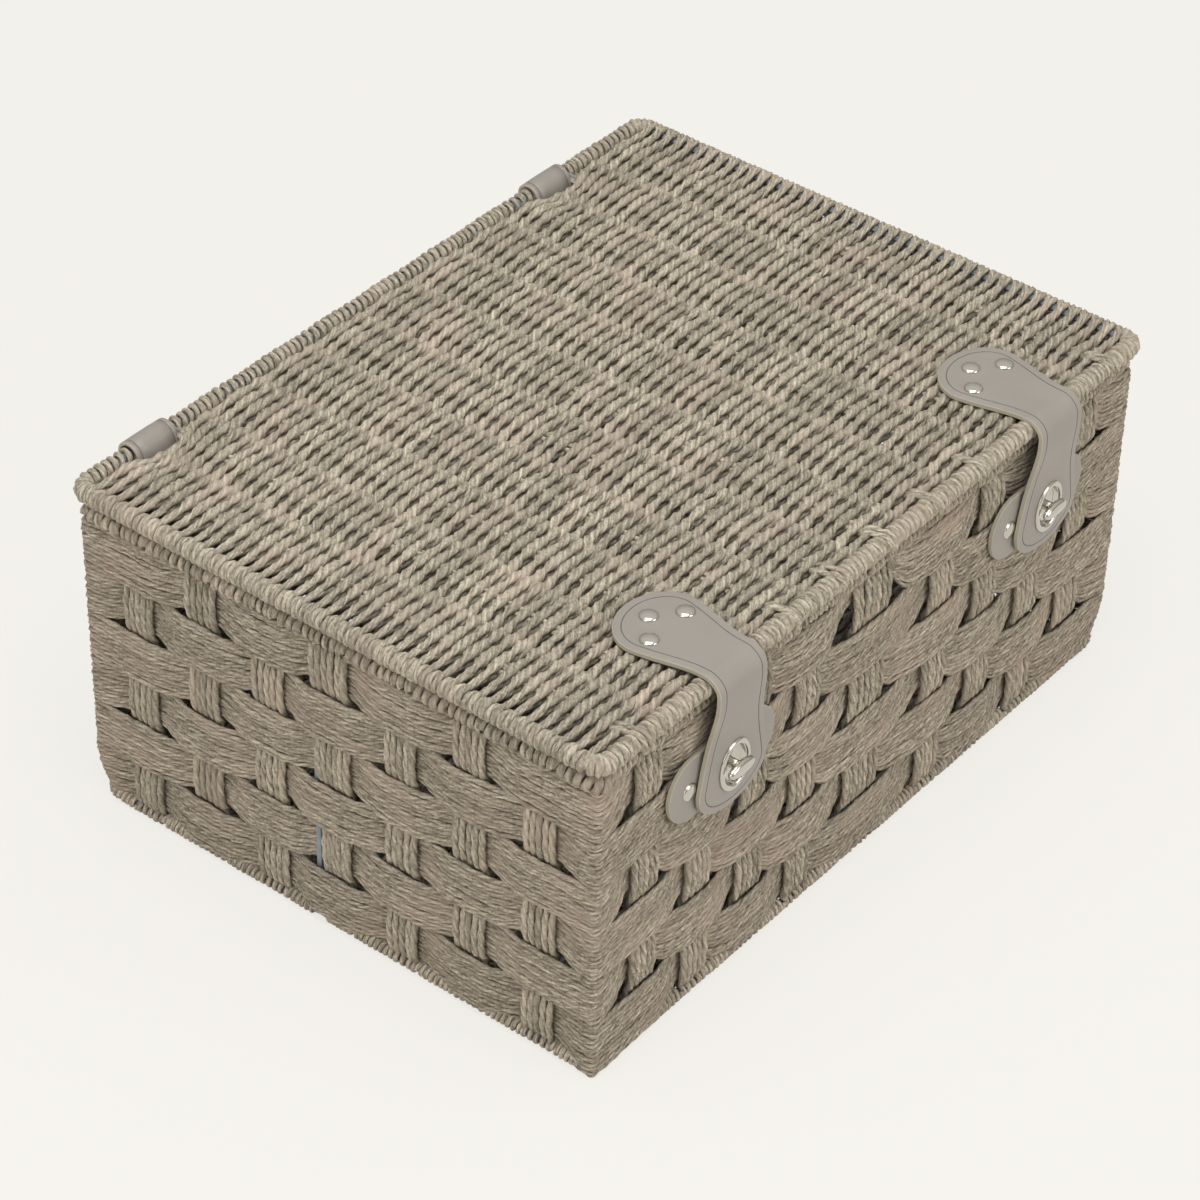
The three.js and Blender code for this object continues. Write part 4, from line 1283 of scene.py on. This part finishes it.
# %% Strap outline
NECK_HALF = 16 * MM
HEAD = {"half": 22.5 * MM, "round": 19 * MM, "neck": 1 * MM, "shoulder": 9, "ease": 0.3}
FLAP = {"half": 23.5 * MM, "round": 17 * MM, "neck": 2 * MM, "shoulder": 8, "ease": 0.3}
ROUND_STEPS = 26
SHOULDER_STEPS = 12
NECK_STEPS = 22
head_low, head_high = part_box("left_strap_head")
HEAD_BASE_Z = head_high.z - LEATHER_THICK
BEND_INNER = -RING_Y - head_low.y - LEATHER_THICK
BEND_RUN = (BEND_INNER + LEATHER_THICK / 2) * math.pi / 2
HEAD_REACH = head_high.y + RING_Y
JOINT_Z = HEAD_BASE_Z - BEND_INNER
FLAP_DROP = JOINT_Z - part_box("left_strap_flap")[0].z


def arc(centre, half_width, half_height, start, end, count):
    """Points on part of an oval, in degrees."""
    angle = np.radians(np.linspace(start, end, count))[:, None]
    return centre + np.hstack([half_width * np.cos(angle), half_height * np.sin(angle)])


def bezier(a, b, c, d, count):
    """Points on a cubic curve, without its ends."""
    t = np.linspace(0, 1, count + 2)[1:-1, None]
    return (1 - t) ** 3 * a + 3 * t * (1 - t) ** 2 * b + 3 * t * t * (1 - t) * c + t**3 * d


def strap_end(length, shape):
    """The right half of a strap's end, from its tip to its neck."""
    half, depth, shoulder = shape["half"], shape["round"], shape["shoulder"]
    round_end = arc((0, depth), half, depth, -90, shoulder, ROUND_STEPS)
    meet = round_end[-1]
    neck = np.array([NECK_HALF, length - shape["neck"]])
    run = neck[1] - meet[1]
    slope = half * math.tan(math.radians(shoulder)) / depth
    leave = meet + run / 2 * np.array([-slope, 1.0])
    curve = bezier(meet, leave, neck - [0, run * shape["ease"]], neck, SHOULDER_STEPS)
    return np.concatenate([round_end, curve, [neck]])


def strap_side():
    """The right half of the whole strap, from the head's tip to the flap's tip."""
    head = strap_end(HEAD_REACH, HEAD)
    flap = strap_end(FLAP_DROP, FLAP)
    total = HEAD_REACH + BEND_RUN + FLAP_DROP
    flap = (flap * [1, -1] + [0, total])[::-1]
    neck_v = np.linspace(head[-1, 1], flap[0, 1], NECK_STEPS)[1:-1]
    neck = np.column_stack([np.full(len(neck_v), NECK_HALF), neck_v])
    return np.concatenate([head, neck, flap])


print("strap outline:", len(strap_side()), "points on each side")

# %% Lay a strap in its place
LEAN = 1.75 * MM
LEAN_RUN = 40 * MM
STAND_OFF = 1.6 * MM
STAND_OFF_AT = 5 * MM
STAND_OFF_RUN = 14 * MM
TIP_LEAN = 0.8 * MM
TIP_FROM = 12 * MM
TIP_RUN = 17 * MM


def lay_strap(x):
    """Places a strap on the lid, over the rail and down the front, where the lock draws it in."""

    def placed(u, v, h):
        bend = np.clip((v - HEAD_REACH) / BEND_RUN, 0, 1) * math.pi / 2
        past_bend = v - HEAD_REACH - BEND_RUN
        hang = np.maximum(past_bend, 0)
        drawn = smooth(np.clip(hang / LEAN_RUN, 0, 1))
        stand = np.exp(-(((past_bend - STAND_OFF_AT) / STAND_OFF_RUN) ** 2))
        past_lock = np.clip((hang - LEAN_RUN - TIP_FROM) / TIP_RUN, 0, 1)
        reach = BEND_INNER + h
        y = head_high.y - np.minimum(v, HEAD_REACH) - reach * np.sin(bend)
        y = y + LEAN * drawn - STAND_OFF * stand + TIP_LEAN * past_lock**2
        z = JOINT_Z + reach * np.cos(bend) - hang
        return np.stack([x + u, y, z], -1)

    return placed


print("strap:", round((HEAD_REACH + BEND_RUN + FLAP_DROP) / MM, 1), "mm long")

# %% Cut the lock's window and place the straps
WINDOW = (16 * MM, 22 * MM)
WINDOW_STEPS = 48
WINDOW_REACH = (-145 * MM, -162 * MM)
LOCK_Z = middle("left_eyelet")[2]


def cut_window(mesh, x):
    """Cuts the lock's oval window through a strap."""
    angle = np.linspace(0, 2 * math.pi, WINDOW_STEPS, endpoint=False)
    oval_x = x + WINDOW[0] / 2 * np.cos(angle)
    oval_z = LOCK_Z + WINDOW[1] / 2 * np.sin(angle)
    ends = [(px, y, pz) for y in WINDOW_REACH for px, pz in zip(oval_x, oval_z)]
    rim = np.arange(WINDOW_STEPS)
    faces = ring_quads(2, WINDOW_STEPS).tolist()
    faces += [rim[::-1].tolist(), (rim + WINDOW_STEPS).tolist()]
    tool_mesh = bpy.data.meshes.new("window_tool")
    tool_mesh.from_pydata(ends, [], faces)
    finish_mesh(tool_mesh)
    tool = bpy.data.objects.new("window_tool", tool_mesh)
    piece = bpy.data.objects.new("window_piece", mesh)
    bpy.context.collection.objects.link(tool)
    bpy.context.collection.objects.link(piece)
    cut = piece.modifiers.new("window", "BOOLEAN")
    cut.operation = "DIFFERENCE"
    cut.object = tool
    cut.solver = "EXACT"
    evaluated = piece.evaluated_get(bpy.context.evaluated_depsgraph_get())
    result = bpy.data.meshes.new_from_object(evaluated)
    bpy.data.objects.remove(piece)
    bpy.data.objects.remove(tool)
    return result


for side, x in STRAP_PLACES.items():
    name = f"{side}_strap"
    mesh = cut_window(leather_mesh(name, strap_side(), LEATHER_THICK, lay_strap(x)), x)
    mesh.name = name
    strap = add_piece(name, mesh, [], None, [f"{name}_head", f"{name}_flap"])
    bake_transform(strap)

# %% [markdown]
# ## Pads and hinge loops
# Behind each strap a leather pad is riveted to the wall. On the back, two wide leather loops
# hold the lid's rail and the rim together. A loop is a strip that closes on itself, so its
# section travels round both rails.

# %% Pads
PAD_HALF_WIDTH = 36.5 * MM
PAD_R = 16.5 * MM
PAD_THICK = 2 * MM
PAD_CROWN = 0.3 * MM
PAD_STEPS = 18
PAD_RUN_STEPS = 12
pad_back = -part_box("left_pad")[1].y


def pad_side():
    """The right half of a pad, seen as a strip that runs across the front."""
    far = 2 * PAD_HALF_WIDTH - PAD_R
    first = arc((0, PAD_R), PAD_R, PAD_R, -90, 0, PAD_STEPS)
    run = np.linspace(PAD_R, far, PAD_RUN_STEPS)[1:-1]
    straight = np.column_stack([np.full(len(run), PAD_R), run])
    last = arc((0, far), PAD_R, PAD_R, 0, 90, PAD_STEPS)
    return np.concatenate([first, straight, last])


def lay_pad(x):
    """Places a pad on the front wall, crowned a little towards its middle."""

    def placed(u, v, h):
        crown = PAD_CROWN * (1 - (u / PAD_R) ** 2) * (h / PAD_THICK)
        return np.stack([x - PAD_HALF_WIDTH + v, -(pad_back + h + crown), LOCK_Z + u], -1)

    return placed


for side in STRAP_PLACES:
    name = f"{side}_pad_leather"
    lay_out = lay_pad(middle(f"{side}_pad")[0])
    mesh = leather_mesh(name, pad_side(), PAD_THICK, lay_out, crease=False)
    add_piece(name, mesh, [], "basket", [f"{side}_pad"])

# %% Hinge loops
LOOP_INNER = 4.85 * MM
LOOP_STEPS = 26
# Across half a loop: distance in from its edge and height in millimetres, and finish.
LOOP_RINGS = [(0.2, 0.0, EDGE), (0.0, 0.3, EDGE), (0.0, 1.2, EDGE), (0.3, 1.55, FACE)]
LOOP_RINGS += [(1.0, 1.6, FACE), (2.3, 1.6, CREASE), (2.45, 1.35, CREASE), (2.75, 1.35, CREASE)]
LOOP_RINGS += [(2.9, 1.6, FACE), (7.5, 1.7, FACE)]
rim_place = np.array([WALL_Y, RIM_Z])
rail_place = np.array([RING_Y, LID_Z])


def loop_centre_line():
    """Places and outward directions of a loop's inner face, round both rails, from the side."""
    lean = math.atan2(rail_place[0] - rim_place[0], rail_place[1] - rim_place[1])
    upper = np.linspace(-lean, math.pi - lean, LOOP_STEPS)
    lower = np.linspace(math.pi - lean, 2 * math.pi - lean, LOOP_STEPS)
    places, outs = [], []
    for centre, angles in ((rail_place, upper), (rim_place, lower)):
        outs.append(np.stack([np.cos(angles), np.sin(angles)], -1))
        places.append(centre + outs[-1] * LOOP_INNER)
    return np.concatenate(places), np.concatenate(outs)


def loop_section():
    """Across a loop: distance along the width, height and finish, once round the strip."""
    right = np.array([(LOOP_HALF - inset * MM, height * MM) for inset, height, _ in LOOP_RINGS])
    kinds = [kind for _, _, kind in LOOP_RINGS]
    section = np.concatenate([right, right[::-1] * [-1, 1]])
    return section, kinds + kinds[-2::-1] + [FACE]


line, out = loop_centre_line()
section, kinds = loop_section()
spots = line[:, None, :] + out[:, None, :] * section[None, :, 1:2]
quads = ring_quads(len(line), len(section), closed=True)
for i, x in enumerate(LOOP_PLACES):
    across = np.broadcast_to(x + section[None, :, 0], spots.shape[:2])
    points = np.concatenate([across[..., None], spots], -1).reshape(-1, 3)
    mesh = quad_mesh(f"hinge_loop_leather_{i + 1}", points, quads)
    mesh.polygons.foreach_set("material_index", np.tile(kinds, len(line)).astype(np.int32))
    finish_mesh(mesh)
    add_piece(mesh.name, mesh, leathers, "basket", [f"hinge_loop_{i + 1}"])

# %% [markdown]
# ## Nickel fittings
# Rivets, eyelets and knobs are brass, stamped and nickel plated, so they are bright with soft
# corners. Handling scuffs the plate in hair-fine marks, which are drawn as 3 mm patches of
# softer shine so that they show. The fittings are turned or swept profiles: a dome for a rivet,
# an oval bezel with a sunk floor for an eyelet, and a crowned oval bar for the knob. The lock's
# face is plain.

# %% Nickel material
SCUFF = 3 * MM
nickel, tree, output = new_material("Nickel_plated_brass")
spot = {"Vector": add(tree, "TexCoord", {}).outputs["Object"]}
scuff = add(tree, "TexNoise", {"Scale": 1 / SCUFF, "Detail": 4.0}, spot)
polish = add(tree, "MapRange", {"To Min": 0.06, "To Max": 0.2}, {"Value": scuff.outputs["Fac"]})
plate = add(
    tree,
    "BsdfPrincipled",
    {"Base Color": linear("#C8C3BA"), "Metallic": 1.0},
    {"Roughness": polish.outputs[0]},
)
tree.links.new(plate.outputs[0], output.inputs["Surface"])
for side in STRAP_PLACES:
    repaint(f"{side}_keeper_plate", nickel)

print("nickel on the keeper plates of", list(STRAP_PLACES))

# %% Rivets
THINNEST = 0.02 * MM
SHARP_NICKEL = math.radians(50)
RIVET_R = 4.4 * MM
RIVET_DOME = 1.6 * MM
RIVET_FOOT = 1.2 * MM
RIVET_RIM = 0.12 * MM
RIVET_BOW = np.radians(np.linspace(0, 88, 9))
RIVET_SIDES = 32
PAD_RIVET_LIFT = 0.2 * MM
STRAP_TOP = HEAD_BASE_Z + FACE_CROWN * LEATHER_THICK
PAD_FACE = -(pad_back + PAD_THICK + PAD_RIVET_LIFT)


def swept_oval(profile, width, height, count, lay_out):
    """Rings of an oval, each moved in and raised by a profile step, closed at both ends."""
    angle = np.linspace(0, 2 * math.pi, count, endpoint=False)
    points = []
    for inset, raised in profile:
        a, b = (max(size / 2 - inset, THINNEST) for size in (width, height))
        points.append(lay_out(a * np.cos(angle), b * np.sin(angle), np.full(count, raised)))
    rings = len(profile)
    quads = np.concatenate([ring_quads(rings, count), end_caps(rings, count)])
    return np.concatenate(points), quads


def joined_quads(shells):
    """Several shells as one list of points and faces."""
    starts = np.cumsum([0] + [len(p) for p, _ in shells])
    quads = [q + start for (_, q), start in zip(shells, starts)]
    return np.concatenate([p for p, _ in shells]), np.concatenate(quads)


def rivet_shell(centre, facing):
    """A domed rivet head on a point, facing up or out of the front."""
    dome = zip(RIVET_R * (1 - np.cos(RIVET_BOW)), RIVET_RIM + RIVET_DOME * np.sin(RIVET_BOW))
    profile = [(RIVET_FOOT, 0.0), (0.0, 0.0), *dome]

    def placed(u, v, h):
        if facing == "up":
            return np.stack([centre[0] + u, centre[1] + v, centre[2] + h], -1)
        return np.stack([centre[0] + u, centre[1] - h, centre[2] + v], -1)

    return swept_oval(profile, 2 * RIVET_R, 2 * RIVET_R, RIVET_SIDES, placed)


def nickel_piece(name, shells, body, stands_for):
    """Nickel shells as one piece on a body."""
    mesh = finish_mesh(quad_mesh(name, *joined_quads(shells)))
    mesh.set_sharp_from_angle(angle=SHARP_NICKEL)
    add_piece(name, mesh, [nickel], body, stands_for)


for side in STRAP_PLACES:
    heads = [f"{side}_strap_rivet_{i}" for i in (1, 2, 3)]
    shells = [rivet_shell((*middle(node)[:2], STRAP_TOP), "up") for node in heads]
    nickel_piece(f"{side}_strap_rivets", shells, "lid", heads)
    pins = [f"{side}_pad_rivet_{end}" for end in ("outer", "inner")]
    shells = [rivet_shell((middle(node)[0], PAD_FACE, LOCK_Z), "front") for node in pins]
    nickel_piece(f"{side}_pad_rivets", shells, "basket", pins)

# %% Eyelets and knobs
FLAP_FACE = -RING_Y - BEND_INNER - LEATHER_THICK + LEAN
EYELET_SIZE = (21 * MM, 27 * MM)
KNOB_SIZE = (17 * MM, 7.5 * MM)
STEM_SIZE = (4.8 * MM, 4.8 * MM)
EYELET_SIDES, KNOB_SIDES, STEM_SIDES = 64, 48, 24
# Each step of a profile: distance in from the outline and height over the strap, in millimetres.
EYELET_STEPS = [(2.8, -2.2), (2.8, 0.0), (0.2, 0.0), (0.0, 0.35), (0.1, 0.8), (0.5, 1.2)]
EYELET_STEPS += [(1.2, 1.45), (2.0, 1.4), (2.6, 1.1), (3.1, 0.4), (3.3, -1.3), (3.9, -1.7)]
STEM_STEPS = [(0.0, -1.9), (0.0, 2.8)]
KNOB_STEPS = [(1.2, 2.6), (0.3, 2.75), (0.0, 3.2), (0.0, 4.0), (0.25, 4.7), (0.8, 5.25)]
KNOB_STEPS += [(1.6, 5.6), (2.8, 5.8)]
eyelet_profile, stem_profile, knob_profile = (
    np.array(steps) * MM for steps in (EYELET_STEPS, STEM_STEPS, KNOB_STEPS)
)
for side, x in STRAP_PLACES.items():

    def lay_front(u, v, h, x=x):
        """Places a fitting on the flap's face."""
        return np.stack([x + u, FLAP_FACE - h, LOCK_Z + v], -1)

    eyelet = swept_oval(eyelet_profile, *EYELET_SIZE, EYELET_SIDES, lay_front)
    nickel_piece(f"{side}_eyelet_bezel", [eyelet], f"{side}_flap", [f"{side}_eyelet"])
    bar = swept_oval(knob_profile, *KNOB_SIZE, KNOB_SIDES, lay_front)
    stem = swept_oval(stem_profile, *STEM_SIZE, STEM_SIDES, lay_front)
    nickel_piece(f"{side}_knob_bar", [bar, stem], f"{side}_lock_knob", [f"{side}_knob"])
